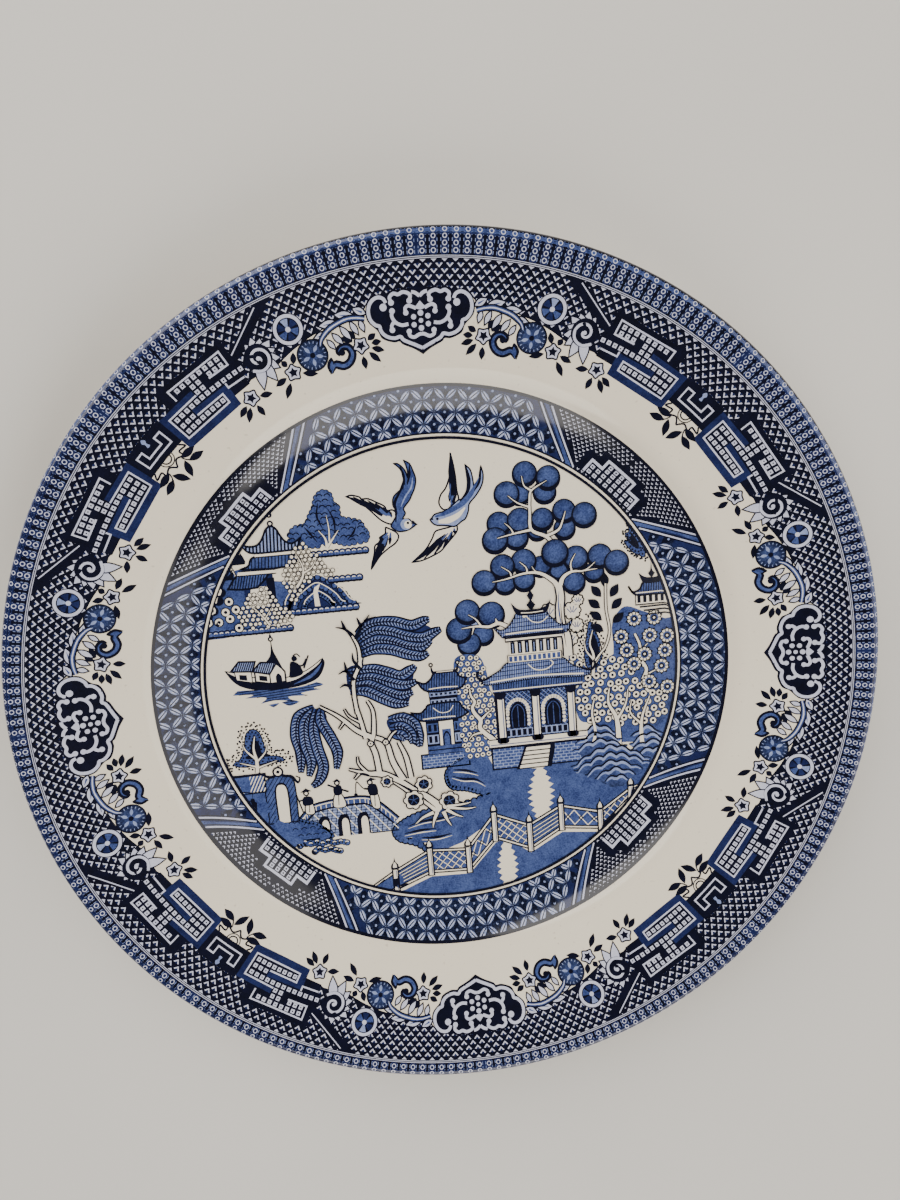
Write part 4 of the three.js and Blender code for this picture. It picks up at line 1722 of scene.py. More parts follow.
scene.straight("navy", [(-60.6, 39.3), (-49.4, 39.1)], 0.32)
roof([
    (-60, 39.9, 0), (-57.4, 40.8), (-55.2, 43.4), (-45, 43.5), (-42.6, 41.6), (-44.5, 39.8, 0), (-50, 39.4),
    (-55, 39.6)
], 84, 1)
scene.block("white", -55.2, 43.2, -43.8, 44.3)
scene.straight("navy", [(-55.2, 43.2), (-43.8, 43.2)], 0.32)
scene.straight("navy", [(-55.2, 44.3), (-43.8, 44.3)], 0.32)
roof(
    [
        (-59, 48.2, 0), (-57.4, 46.8), (-55, 46.6), (-53.3, 47.4), (-52, 49.3), (-51, 51.3), (-49.5, 52.2),
        (-48, 51.3), (-47, 49.3), (-45.6, 47.3), (-43.5, 46.5), (-40.9, 48, 0), (-42.6, 44.8), (-45, 44.5),
        (-50, 44.4), (-55, 44.5), (-57.4, 45.4)
    ],
    86, 1.05, "navy", "pale", 0.55
)
for y, radius in ((53, 0.95), (55.6, 0.85)):
    scene.target(-49.5, y, ("navy", radius, 10), ("white", radius * 0.45, 8))
scene.area("navy", [(-49.9, 56.2), (-49.1, 56.2), (-49.5, 58.2)])
scene.level = 50
berries([
    (-62, 21.6), (-47, 21.6), (-45.6, 25), (-49, 28), (-50.4, 31.6), (-54, 34.6), (-59, 31.4), (-62.6, 27)
], 1.5, 7)
scene.level = 50
berries([
    (-48, 34.4), (-45.4, 28), (-43, 30.2), (-38, 36), (-33, 35.4), (-32, 37.6), (-36, 41.4), (-40, 46.4),
    (-43.6, 45), (-46.4, 40)
], 1.5, 9)
for x, y in scattered([
    (-73, 21.8), (-62.4, 21.8), (-62.4, 27), (-60.6, 30), (-63, 34), (-68, 36), (-71, 33)
], 3.4, 0.14, 4):
    scene.level = 52
    blossom(x, y, 1.5)
scene.level = 55
branches((
    ([(-43.6, 33), (-41.6, 36), (-41.2, 39), (-42.6, 42.6)], (0.8, 0.2)),
    ([(-41.5, 37), (-38.6, 38.6), (-37, 41)], (0.6, 0.1)),
    ([(-53, 22), (-55, 25), (-57.4, 28)], (0.6, 0.2)), ([(-54.4, 24), (-52, 27.4)], (0.4, 0.1))
), 0.22)

# The near shore at the bottom left: a stippled tree, and the gatehouse with its arch and mound.
def stippled(outline, core, apart, seed):
    """A tree drawn in dots: thick and dark in the middle, thinning to loose dots at its edge."""
    level = scene.level
    scene.shape("blue", core, 0.3)
    middle = (sum(p[0] for p in core) / len(core), sum(p[1] for p in core) / len(core))
    heart = [((p[0] + middle[0]) / 2, (p[1] + middle[1]) / 2) for p in core]
    scene.shape("navy", heart)
    centre = (sum(p[0] for p in outline) / len(outline), sum(p[1] for p in outline) / len(outline))
    for x, y in scattered(curved(outline, True), apart, 0.22, seed):
        scene.level = level + 3
        scene.disc("navy", x, y, 0.34, 6)
    for k, (x, y) in enumerate(curved(outline, True, 4)):
        spread = 1.06 if k % 2 else 0.97
        scene.level = level + 5
        scene.disc(
            "navy", centre[0] + (x - centre[0]) * spread, centre[1] + (y - centre[1]) * spread, 0.36, 6
        )
    scene.level = level + 6


def scallops(points, radius, edge=0.28):
    """A scalloped edge: overlapping rounds with a dark rim, laid along a line."""
    level = scene.level
    for x, y in points:
        scene.level = level
        scene.disc("navy", x, y, radius + edge, 10)
    for x, y in points:
        scene.level = level + 1
        scene.disc("blue", x, y, radius, 10)
    scene.level = level + 2


dark_tree = [
    (-66, -10.5), (-62.5, -8.8), (-59.4, -10.5), (-57.8, -14), (-57.2, -18), (-53.4, -18.4), (-51.6, -21.4),
    (-55, -23.6), (-60.5, -22.6), (-65, -23.6), (-71, -22.8), (-71.5, -20), (-68, -17.8), (-67, -14)
]
tree_core = [
    (-64.6, -12), (-62.5, -10.6), (-60.4, -12), (-59.4, -16), (-58.6, -19.4), (-55, -20.4), (-54, -22),
    (-60.5, -22.2), (-66, -22.8), (-69.6, -21.6), (-67, -19.6), (-65.6, -16)
]
scene.level = 0
stippled(dark_tree, tree_core, 1.15, 7)
branches((
    ([(-62.5, -25), (-62.3, -21), (-62.8, -17), (-62, -13)], (1.2, 0.8, 0.2)),
    ([(-62.4, -20.5), (-65.2, -17.4), (-66, -15)], (0.7, 0.1)),
    ([(-62.4, -21.5), (-59.4, -18.6), (-58.6, -16)], (0.6, 0.1)),
    ([(-62.6, -23), (-67.6, -21.2)], (0.6, 0.1)), ([(-62.2, -23.4), (-56, -21.6)], (0.6, 0.1))
), 0.25)
scene.level = 8
mound = [
    (-63, -42), (-57, -41.4), (-53, -42.2), (-50, -43.4), (-46.6, -44.6), (-43.6, -46.6), (-42, -48.8),
    (-45, -50.8), (-50, -50.6), (-56, -50), (-62, -48)
]
scallops(curved(mound, True, 3), 1)
scene.shape("blue", mound)
level = scene.level
for x, y in scattered(curved(mound, True), 2.6, 0.2, 3):
    scene.level = level
    scene.straight("navy", arc(x, y, 0.9, 20, 160, 5), 0.28)
for cloud in (
    (
        (-52, -51.2), (-50.4, -50.2), (-48.6, -51), (-46.6, -50.4), (-44.8, -51.2), (-43, -50.6),
        (-41, -51.4), (-39, -51.2), (-37, -51.8)
    ),
    ((-47.6, -53.8), (-46, -52.8), (-44.2, -53.6), (-42.4, -53.2), (-40.8, -54), (-39.4, -54.4))
):
    level = scene.level
    scallops(curved(list(cloud), steps=2), 0.85)
    for x, y in cloud:
        scene.straight("white", arc(x, y - 0.1, 0.6, 30, 150, 5), 0.3)
        scene.level = level + 2
    scene.level = level + 3
scene.area("blue", [(-73, -31.6), (-60.4, -31.6), (-60.4, -42.4), (-66, -42.4), (-73, -36)])
hatch("navy", [(-73, -31.6), (-60.4, -31.6), (-60.4, -42.4), (-66, -42.4), (-73, -36)], 90, 1, 0.22)
for x in (-68.4, -64.8):
    level = scene.level
    scene.block("navy", x - 1.3, -33.4, x + 1.3, -38.2)
    scene.block("white", x - 0.8, -33.9, x + 0.8, -37.7)
    scene.level = level
scene.level += 2
tower = [
    (-60.6, -42.6, 0), (-60.8, -30), (-59.4, -27.4, 0), (-56.2, -26.4), (-52.8, -27.4, 0), (-51.4, -30),
    (-51.4, -42.6, 0)
]
scene.shape("blue", tower, 0.4)
hatch("navy", curved(tower, True), 55, 1.1, 0.22)
scene.shape("navy", [(-57.9, -42.2, 0), (-57.9, -31.6), (-55.8, -29), (-53.6, -31.6), (-53.6, -42.2, 0)])
scene.shape("white", [(-57.4, -42.6, 0), (-57.4, -31.8), (-55.8, -29.8), (-54.1, -31.8), (-54.1, -42.6, 0)])
roof(
    [(-73.5, -25.6, 0), (-60.6, -25.6, 0), (-60.6, -31.4, 0), (-66, -31.6), (-73.5, -31.2, 0)], 62, 0.95,
    "white", "blue", 0.34
)
scene.straight("navy", [(-73.5, -25.6), (-60, -25.6)], 0.8)
scene.straight("navy", [(-73.5, -31.5), (-60.6, -31.6)], 0.5)
scene.line("navy", [
    (-62.2, -25), (-60.2, -26.4), (-58.2, -26.9), (-56.2, -26.2), (-54.2, -26.9), (-52, -27.4),
    (-50.4, -29.6), (-49.6, -28.2), (-50.8, -27.4)
], (0.3, 0.9, 0.9, 0.9, 0.8, 0.5, 0.3))
scene.target(-56.2, -25.4, ("navy", 1.75, 14), ("white", 1.2, 12), ("navy", 0.55, 8))

# The little pagoda left of centre: two roofs, rows of windows, an arched door and a brick base.
def bricks(x0, x1, top, rows, long, high):
    """Brickwork: a blue wall with pale joints between the courses."""
    joint = 0.26
    level = scene.level
    scene.block("blue", x0, top, x1, top - rows * high)
    for row in range(rows):
        y = top - row * high
        scene.level = level + 1
        scene.block("pale", x0, y, x1, y - joint)
        for k in range(int((x1 - x0) / long)):
            x = x0 + long * (k + 0.25 + 0.5 * (row % 2))
            scene.block("pale", x, y - joint, x + joint, y - high)
            scene.level = level + 1
    scene.level = level + 2
    scene.line("navy", [
        (x0, top), (x1, top), (x1, top - rows * high), (x0, top - rows * high)
    ], 0.5, True, False)


def windows(x0, x1, low, high, count, fill, frame, bar):
    """A row of windows, each an upright light in a frame."""
    level = scene.level
    pitch = (x1 - x0) / count
    scene.block(frame, x0, low, x1, high)
    for k in range(count):
        a, b = x0 + pitch * k + bar, x0 + pitch * (k + 1) - bar
        scene.level = level + 1
        scene.block(fill, a, low + bar, b, high - bar)
    scene.level = level + 2


scene.level = 0
bricks(-10.6, 4.6, -25, 5, 1.7, 0.95)
scene.area("navy", [(-8.4, -13.4), (3.2, -13.6), (3.2, -25), (-8.4, -25)])
windows(-8.1, -4.6, -17.8, -14.8, 2, "navy", "blue", 0.4)
windows(0.6, 3.1, -17.8, -14.8, 2, "navy", "blue", 0.4)
windows(-8.1, -4.6, -21.6, -18.6, 2, "navy", "pale", 0.4)
windows(0.6, 3.1, -21.6, -18.6, 2, "navy", "pale", 0.4)
scene.block("blue", -8.3, -25, 3.1, -22.4)
scene.straight("navy", [(-8.3, -23.7), (3.1, -23.7)], 0.4)
scene.block("white", -4.2, -22.3, 0.2, -14.2)
scene.block("blue", -3.4, -22.3, -0.6, -17)
scene.shape("navy", [(-3.2, -22.3, 0), (-3.2, -19.4), (-2, -17.6), (-0.8, -19.4), (-0.8, -22.3, 0)])
scene.shape("blue", [(-2.8, -22.3, 0), (-2.8, -19.6), (-2, -18.3), (-1.2, -19.6), (-1.2, -22.3, 0)])
scene.area("navy", [(-6.8, -3.8), (2.8, -3.8), (2, -9.2), (-6.4, -9.2)])
windows(-6.4, 2.4, -6, -4.6, 6, "navy", "pale", 0.34)
windows(-6.2, 2, -8.4, -7, 6, "navy", "pale", 0.34)
for eaves in (
    [
        (-12.6, -10.6, 0), (-9.8, -11), (-8, -9.7), (-6.3, -8.4), (2, -8.4), (3.6, -10.2), (5.4, -12.2, 0),
        (1.5, -13.8), (-9.5, -13.6)
    ],
    [
        (-9.9, -0.6, 0), (-7.6, -1.5), (-5.5, -0.1), (-4, 1.7), (2, 1.7), (3.5, -0.1), (5.6, -0.9, 0),
        (3, -4.1), (-6.8, -4.1)
    ]
):
    roof(eaves, 84, 0.8, "navy", "blue", 0.3)
    low, left, right = min(p[1] for p in eaves), eaves[-1][0], eaves[-2][0]
    scene.line("white", [
        (left + 0.4, low + 0.7), ((left + right) / 2, low + 0.9), (right - 0.3, low + 0.7)
    ], 0.34)
scene.line("white", [(-5.6, -9.6), (-3.4, -11.4), (-0.6, -11.2), (0.8, -9.4)], 0.26)
scene.line("navy", [
    (-5.2, 3.8), (-4.8, 2), (-3.4, 1.8), (1.4, 1.8), (2.8, 2), (3.2, 3.8)
], (0.2, 0.9, 0.9, 0.9, 0.9, 0.2))
scene.straight("white", [(-3.6, 1.9), (1.6, 1.9)], 0.26)
for x in (-5.2, 3.2):
    scene.target(x, 4.4, ("navy", 0.75, 8), ("white", 0.3, 6))

# The blossom tree between the pagodas: a bare trunk among ring blossoms on a dark ground.
middle_tree = [
    (2.5, 5.5), (9.5, 6), (12, 1), (13, -6), (16.5, -12), (16, -20), (15, -25.5), (9, -28.5), (3.5, -27.5),
    (2.5, -20), (2, -13), (2, -5)
]
scene.level = 11
scene.shape("blue", middle_tree)
for x, y in scattered(middle_tree, 2.05, 0.14, 11):
    scene.level = 12
    blossom(x, y, 0.94, 0.2)
scene.level = 16
branches((
    (
        [
            (14.2, -24.6), (12.4, -22), (10.2, -19.8), (8.7, -17.7), (9.1, -15.4), (7.5, -13.1),
            (6.8, -10.9), (7.7, -9.1), (6.6, -6.9), (6.4, -4.6)
        ],
        (2.2, 1.6, 1.3, 1.2, 1.2, 1.1, 0.9, 0.8, 0.6, 0.2)
    ),
    ([(9, -15.4), (11.4, -13.2), (12.8, -12.4)], (0.8, 0.1)),
    ([(9.6, -19.4), (6.4, -20), (5, -21.6)], (0.7, 0.1))
), 0.36)

# The great pagoda: a ridge with horns, three storeys of roofs, and a porch of white columns.
scene.level = 22
bricks(12, 42.8, -25.4, 7, 1.8, 1)
scene.block("white", 11.4, -22.4, 43.2, -25.2)
scene.straight("navy", [(11.4, -25.2), (43.2, -25.2)], 0.6)
scene.straight("navy", [(11.4, -22.4), (43.2, -22.4)], 0.35)
scene.level -= 1
scene.straight("blue", [(11.8, -24.2), (42.8, -24.2)], 0.3)
steps_level = scene.level
scene.area("navy", [(19.6, -33.2), (22.6, -25.4), (32.4, -25.4), (32.4, -27), (31, -33.2)])
for k in range(5):
    y = -26 - 1.45 * k
    scene.level = steps_level + 1
    scene.area("white", [
        (23.2 - 0.56 * k, y), (30.9 - 0.28 * k, y), (30.7 - 0.28 * k, y - 1.05), (22.8 - 0.56 * k, y - 1.05)
    ])
scene.block("navy", 14, -6, 39.6, -22.4)
for centre in (21.2, 32.6):
    porch = scene.level
    wall = [(centre - 4.5, -6.6), (centre + 4.5, -6.6), (centre + 4.5, -22.2), (centre - 4.5, -22.2)]
    scene.area("blue", wall)
    hatch("navy", wall, 45, 0.9, 0.3)
    hatch("pale", wall, -45, 1.2, 0.2)
    for k in range(-1, 12):
        out = heading(15 + 15 * k)
        scene.level = porch + 3
        scene.disc("white", centre + out[0] * 3.35, -13.6 + out[1] * 3.9, 0.62, 8)
    for k in range(4):
        for side in (-1, 1):
            scene.level = porch + 3
            scene.disc("white", centre + side * 3.35, -14.4 - 1.25 * k, 0.56, 8)
    scene.level = porch + 4
    scene.shape("navy", [
        (centre - 2.7, -19.2, 0), (centre - 2.7, -13.4), (centre, -10.3), (centre + 2.7, -13.4),
        (centre + 2.7, -19.2, 0)
    ])
    scene.line("blue", [
        (centre - 1.9, -18.8), (centre - 1.9, -13.6), (centre, -11.4), (centre + 1.9, -13.6),
        (centre + 1.9, -18.8)
    ], 0.25)
    scene.straight("blue", [(centre, -18.8), (centre, -12)], 0.25)
    windows(centre - 4.4, centre + 4.4, -22, -19.4, 5, "navy", "pale", 0.28)
for x in (15.9, 27.1, 38.5):
    level = scene.level
    scene.block("navy", x - 1.45, -6.4, x + 1.45, -23)
    scene.block("white", x - 1, -6.4, x + 1, -23)
    scene.block("blue", x + 0.35, -8, x + 0.65, -22)
    scene.shape("navy", [(x - 1.8, -7, 0), (x + 1.8, -7, 0), (x + 1.5, -8.6), (x, -9.3), (x - 1.5, -8.6)])
    scene.disc("navy", x - 0.9, -22.9, 1.05, 10)
    scene.level -= 1
    scene.disc("navy", x + 0.9, -22.9, 1.05, 10)
    scene.level -= 1
    scene.block("navy", x - 0.9, -21.9, x + 0.9, -23.9)
    scene.level = level
scene.level += 8
beam = [(13.2, -3.2), (42.8, -3.2), (42.2, -6.8), (13.8, -6.8)]
scene.area("blue", beam)
hatch("navy", beam, 84, 0.8, 0.26)
scene.straight("white", [(13.6, -6.2), (42.4, -6.2)], 0.4)
scene.straight("navy", [(13.6, -6.9), (42.4, -6.9)], 0.4)
low_roof = [
    (10.4, -2.6, 0), (13.5, -1.2), (16.5, 0.4), (19.4, 2.6), (27.5, 2.7), (36, 2.6), (39, 0.2), (42, -1.4),
    (45.4, -2.2, 0), (43, -4), (27.5, -3.2), (13, -3.9)
]
roof(low_roof, 86, 0.72, "pale", "blue", 0.26)
hatch("navy", curved(low_roof, True), 2, 1.35, 0.24)
scene.line("white", [(13, -3.2), (27.5, -2.4), (43, -3.3)], 0.5)
scene.line("white", [(25.4, 1.6), (27.6, -0.4), (31, -0.6), (33.4, 1), (32.6, 2.2)], 0.34)
for side in (-1, 1):
    scroll = [(27.9 + side * x, y) for x, y in (
        (17.2, -0.4), (18.6, 0.5), (18.8, -1), (17.5, -2.2), (15.4, -1.8), (13.8, -0.6)
    )]
    scene.line("navy", scroll, (0.3, 0.6, 0.8, 0.8, 0.6, 0.2))
scene.block("navy", 19, 2.4, 36.4, 5)
windows(19.3, 36.1, 2.6, 4.8, 11, "blue", "white", 0.26)
windows(19.8, 35.6, 5, 9.6, 7, "navy", "white", 0.42)
level = scene.level
for k in range(7):
    scene.level = level
    x = 20.93 + 2.257 * k
    scene.straight("pale", [(x, 5.7), (x, 8.6)], 0.3)
scene.area("navy", [(18.6, 9.2), (36.6, 9.2), (37.4, 11.2), (18.6, 11.2)])
scene.straight("white", [(18.9, 10), (36.8, 10)], 0.6)
top_roof = [
    (15.6, 14.2, 0), (17.6, 13.2), (20, 14.2), (22, 16.8), (23.5, 18.2), (31, 18.2), (33.5, 16), (36, 13.6),
    (38.4, 13.2), (40.2, 14.4, 0), (38.6, 11.4), (37, 10.9), (27.5, 11.2), (19, 10.9), (17.4, 11.8)
]
roof(top_roof, 86, 0.72, "pale", "blue", 0.26)
hatch("navy", curved(top_roof, True), 2, 1.35, 0.24)
scene.line("navy", [(18.2, 11.2), (27.5, 11.2), (37.6, 11.2)], 0.5)
scene.line("white", [(19, 11.9), (27.5, 12.2), (37, 11.9)], 0.45)
scene.line("white", [(25.6, 17.4), (27.6, 15.2), (30.4, 14.8), (32.6, 16.4)], 0.3)
scene.disc("white", 25.2, 17.2, 0.6, 8)
scene.shape("navy", [
    (21.2, 21.8, 0), (22.4, 18.6), (24.2, 17.4), (31, 17.4), (32.8, 18.6), (33.8, 21.8, 0), (31.6, 19.5),
    (27.5, 19.1), (23.6, 19.5)
])
scene.line("white", [(24.2, 18.3), (27.5, 18.1), (31.2, 18.3)], 0.3)
scene.shape("navy", [(26.1, 20.6, 0), (27, 21.6), (27.5, 22.6, 0), (28, 21.6), (28.9, 20.6, 0), (27.5, 18.9)])
scene.shape("navy", [(26.4, 23.6, 0), (27.1, 24.6), (27.5, 26, 0), (27.9, 24.6), (28.6, 23.6, 0), (27.5, 22)])

# The garden on the right: bare trunks, ring and gear-edged flowers, a sprig, and layered rocks.
scene.level = 0
flower_ground = [
    (53, 12), (57, 17), (63, 15), (70, 12), (78, 10), (78, -32), (66, -29), (58, -28), (50, -27), (46, -22),
    (48, -12), (52, -4), (53, 4)
]
scene.shape("blue", flower_ground)
scene.level = 3
slim_tree = [
    (45.4, 15.6), (43.6, 11), (42.4, 7), (41.8, 2), (43, -3), (46.5, -4.5), (49.4, -3), (50.6, 1), (50, 6),
    (48.4, 11)
]
slim_core = [(45.8, 13.4), (44.6, 9), (43.6, 4), (44, -1), (46.5, -3), (48.8, -1), (49.2, 4), (47.8, 9.4)]
stippled(slim_tree, slim_core, 1.05, 13)
scene.shape("navy", [(46.2, 10), (45.6, 6), (44.8, 1), (46.4, -2.6), (48.2, 1), (48, 6)])
branches((
    ([(46, -4.5), (46.5, 2), (45.5, 6), (46.6, 10.4)], (1, 0.2)),
    ([(46.3, 1), (44.2, 4), (43.8, 7)], (0.6, 0.1)), ([(46.4, -1), (48.6, 2), (48.8, 5)], (0.6, 0.1))
), 0.22)
ring_outline = [
    (39, 4), (46, -3), (53, 2), (58, -2), (62, -8), (68, -9), (71, -14), (70, -20), (64, -24), (58, -22),
    (52, -21), (46, -20), (41.2, -19), (39.6, -13), (38.8, -6)
]
scene.level = 8
ring_ground = curved(ring_outline, True)
scene.area("blue", ring_ground, [0 if x < 56 or y > -10 else 0.3 for x, y in ring_ground])
for x, y in scattered(ring_outline, 2.75, 0.16, 17):
    scene.level = 9
    blossom(x, y, 1.3, 0.26)
scene.level = 14
branches((
    ([(53, -33), (53.3, -25), (52.8, -19), (50.5, -14), (51, -9)], (2, 1.2, 0.3)),
    ([(53, -20), (56, -15), (57, -10)], (0.9, 0.2)),
    ([(45, -27), (45.8, -23), (45, -17), (46, -12)], (1.1, 0.3)),
    ([(61, -30), (60.8, -24), (61.5, -19), (64, -13)], (1.5, 0.3)),
    ([(60.8, -22), (57.5, -18), (58, -14)], (0.7, 0.2)),
    ([(60, 8), (61.5, 4), (61.3, 0), (63.3, -4), (62, -8), (64, -11.5)], (0.6, 0.9, 1.2)),
    ([(61.4, 2), (64, 4.4)], (0.5, 0.2)), ([(62.8, -3), (59.6, -1.9)], (0.5, 0.2)),
    ([(62.8, -6), (67.6, -4)], (0.5, 0.2))
), 0.3)
gears_level = scene.level
for x, y in (
    (60, 12.8), (55.6, 7.4), (64.8, 7), (57.2, 2.8), (62.9, 1), (69.5, 1.6), (59.4, -1.9), (68.2, -3.4),
    (64, -8.2), (69.9, -10.5), (66.4, 12.6), (70.4, 6.4)
):
    scene.level = gears_level
    scene.area("navy", spiked(x, y, 10, 2.2, 2.9))
    scene.disc("white", x, y, 2.16, 16)
    level = scene.level
    for k in range(10):
        scene.level = level
        out = heading(36 * k)
        scene.straight("navy", [
            (x + out[0] * 1.2, y + out[1] * 1.2), (x + out[0] * 2.2, y + out[1] * 2.2)
        ], (0.15, 0.46))
    scene.target(x, y, ("blue", 1.4, 12), ("navy", 0.95, 10), ("white", 0.4, 7))
sprig_level = scene.level
sprig_stem = [(51.4, 25), (51.2, 17), (52, 10), (50.6, 5), (49, 3), (46.5, 0)]
scene.line("navy", sprig_stem, 1.1)
scene.line("white", sprig_stem, 0.5)
for x, y, turn in (
    (48.4, 22.7, 128), (51.2, 26, 88), (54, 22.4, 55), (47.6, 18.8, 140), (54.6, 18.2, 42), (48, 14.9, 138),
    (54.8, 13.6, 38), (48.2, 11, 145)
):
    out = heading(turn)
    scene.level = sprig_level
    scene.leaf("navy", x - out[0] * 2.3, y - out[1] * 2.3, turn, 4.9, 2.7)

# The small pavilion at the right edge, with the distant leaves above it.
scene.level = 26
scene.block("navy", 60.6, 17, 78, 20.6)
windows(60.9, 77.6, 17.4, 20.4, 9, "navy", "white", 0.4)
roof(
    [
        (58.6, 23.4, 0), (60, 21.4), (62.2, 22.2), (63.8, 24.4), (68.8, 24.6), (72, 24), (78, 24.6),
        (78, 20.4), (66, 20.2), (60.8, 20.5)
    ],
    86, 0.8, "navy", "blue", 0.3
)
scene.line("white", [(60.9, 21), (67, 21), (77, 21.2)], 0.34)
scene.shape("navy", [
    (62, 27.4, 0), (62.8, 25), (64, 23.9), (68.2, 23.9), (69.4, 25.2), (70.2, 27.6, 0), (68.4, 26),
    (66.2, 25.6), (63.8, 26)
])
scene.shape("navy", [(65, 27, 0), (65.8, 28), (66.1, 30.6, 0), (66.4, 28), (67.2, 27, 0), (66.1, 25.6)])
for y in (16.4, 15.2, 13.9):
    scene.straight("navy", [(62 + (16.4 - y), y), (78, y + 0.2)], 0.5)
far_leaves = [
    (58.5, 44.8), (60.5, 42.5), (62.4, 39.6), (64.4, 36), (64.6, 31.5), (62, 32.5), (60.5, 33.4),
    (58.6, 35.4), (57.2, 37.8), (59.2, 38), (57.6, 40.4), (59.2, 41.4)
]
scene.level = 0
stippled(far_leaves, [(x * 0.86 + 8.7, y * 0.86 + 5.2) for x, y in far_leaves], 1.1, 29)

# The main trunk of the great tree, and the white clouds of leaves it stands in.
for x, y, radius in (
    (33, 17.6, 2.6), (40.4, 17.4, 2.6), (39.6, 8.4, 2.2), (42.4, 20.6, 1.8), (41.6, 12.6, 2.2)
):
    scene.level = 0
    for k in range(9):
        out = heading(40 * k)
        cx, cy = x + out[0] * radius * 0.75, y + out[1] * radius * 0.75
        scene.level = 0
        scene.disc("navy", cx, cy, radius * 0.46, 10)
        scene.level = 1
        scene.disc("white", cx, cy, radius * 0.46 - 0.45, 10)
    scene.level = 2
    scene.disc("white", x, y, radius * 0.75, 14)
    for k in range(4):
        out = heading(40 + 33 * k)
        scene.straight("blue", [
            (x + out[0] * 0.5, y + out[1] * 0.5 - 1),
            (x + out[0] * radius * 0.8, y + out[1] * radius * 0.8 - 0.6)
        ], 0.28)
        scene.level -= 1
scene.level = 70
branches((([(38.4, 3), (38.2, 9), (36.8, 13), (36.5, 18), (37, 22), (36.6, 25.6)], (2.6, 2.3, 2)),), 0.5)
scene.line("navy", [(37.9, 6), (37.4, 11), (37, 15), (36.9, 20)], (0.1, 0.5, 0.1))
scene.line("blue", [(37.3, 10), (36.5, 15), (36.2, 20), (36.6, 24)], (0.1, 0.5, 0.1))

# The rocks by the water: layer on layer of wavy ridges.
def ridge(x, y, half, fall):
    """One ridge of rock: a wavy dark edge with a pale light under it, over a blue body."""
    bumps = max(2, round(half / 2.3))
    crest = []
    for k in range(6 * bumps + 1):
        share = k / (3 * bumps) - 1
        wave = 1.1 * abs(math.cos(math.pi * k / 6 + x)) - 0.6
        crest.append((x + half * share, y - fall * abs(share) ** 1.6 + wave))
    foot = [(x + half * 0.5, y - fall - 2.4), (x - half * 0.5, y - fall - 2.4)]
    level = scene.level
    scene.area("blue", crest + foot, [0] * len(crest) + [0.6, 0.6])
    scene.straight("pale", [(px, py - 0.8) for px, py in crest[1:-1]], (0.3, 0.95, 0.95, 0.3))
    scene.straight("navy", crest, (0.3, 0.62, 0.62, 0.3))
    scene.level = level + 4


scene.level = 20
for k in range(3):
    ridge(46.4 + 0.3 * k, -21 - 2.5 * k, 6.4 + 1.4 * k, 3.4)
scene.level = 20
for k in range(4):
    ridge(62.6 + 0.6 * k, -23 - 2.5 * k, 5.4 + 1.3 * k, 3.6)
for k, (half, fall) in enumerate(((13.2, 6.4), (12.8, 5), (9.6, 4), (6.8, 2.8), (4, 1.4))):
    ridge(50.4 + 0.4 * k, -28.4 - 2.6 * k, half, fall)

# The island under the willow, and the water, white where the light crosses it.
def shimmer(x, top, bottom, half, side):
    """One edge of a path of light on the water: uneven teeth, longest in the middle."""
    teeth = max(4, round((top - bottom) / 1.1))
    points = []
    for k in range(teeth + 1):
        share = k / teeth
        reach = half * (0.45 + 0.75 * math.sin(math.pi * share)) * (1 if k % 2 else 0.6)
        points.append((x + side * reach, top - (top - bottom) * share))
    return points


island = [(-3, -31.5), (-1, -29.5), (1, -28.5), (3, -27.5), (10, -26.4), (12, -31), (20, -32.6), (26, -33.6)]
island += shimmer(27, -33.8, -52.2, 3.8, -1)
island += [
    (22.5, -53.5), (16, -50.3), (12, -49), (6, -52.5), (0, -56.2), (-10, -59.4), (-10.5, -55), (-16, -54.5),
    (-16, -52.5), (-20, -52.7), (-21.5, -50.5), (-21.3, -48.5), (-19, -48), (-18, -46.5), (-15.5, -45.5),
    (-13, -45), (-11.5, -44), (-9.5, -43.9), (-6, -44), (0, -43.2), (4, -42.5), (8, -41.3), (11, -40.2),
    (8, -39.6), (5, -38), (2, -36.8), (-2, -36.2), (-2.5, -34)
]
scene.level = 0
scallops(curved([
    (11, -40.6), (6.5, -39), (3, -37.6), (-1, -36.8), (-2.6, -34.6), (-2.4, -31.6), (0, -29.4), (3, -28)
], steps=3), 0.95, 0.5)
scene.level = 0
scallops(curved([
    (-11, -57.6), (-15, -54.6), (-19.6, -52.8), (-21.2, -50), (-19, -47.6), (-15, -45.6), (-9.5, -44.2),
    (-2, -43.6), (5, -42.4), (10, -40.8)
], steps=3), 0.9, 0.5)
scene.level = 2
scene.area("blue", island)
for points in (
    [(-1.5, -33), (2, -34.4), (6, -35), (9, -37)], [(-1, -31), (3, -31.6), (7, -33)],
    [(-17, -48.6), (-12, -47.4), (-6, -47), (-1, -46)], [(-18.4, -51), (-13, -50.4), (-8, -50.4)],
    [(-13, -53), (-8, -53.4), (-3, -52.6)]
):
    scene.line("navy", points, (0.15, 0.9, 0.15))
    scene.line("white", [(x, y - 0.8) for x, y in points], (0.1, 0.4, 0.1))
scene.level = 0
right_water = [
    (28, -33.6), (34, -31), (46, -32), (60, -30), (66, -28), (78, -28), (70, -41), (56.5, -44.5), (46, -51),
    (33, -47.5), (29.4, -51.6)
]
right_water += list(reversed(shimmer(27, -33.8, -50.6, 3.8, 1)))
scene.area("blue", right_water)
low_left = [(-36, -72), (-22.5, -71.6), (-10.8, -67), (1.8, -67.4), (11, -57.6), (13.2, -57)]
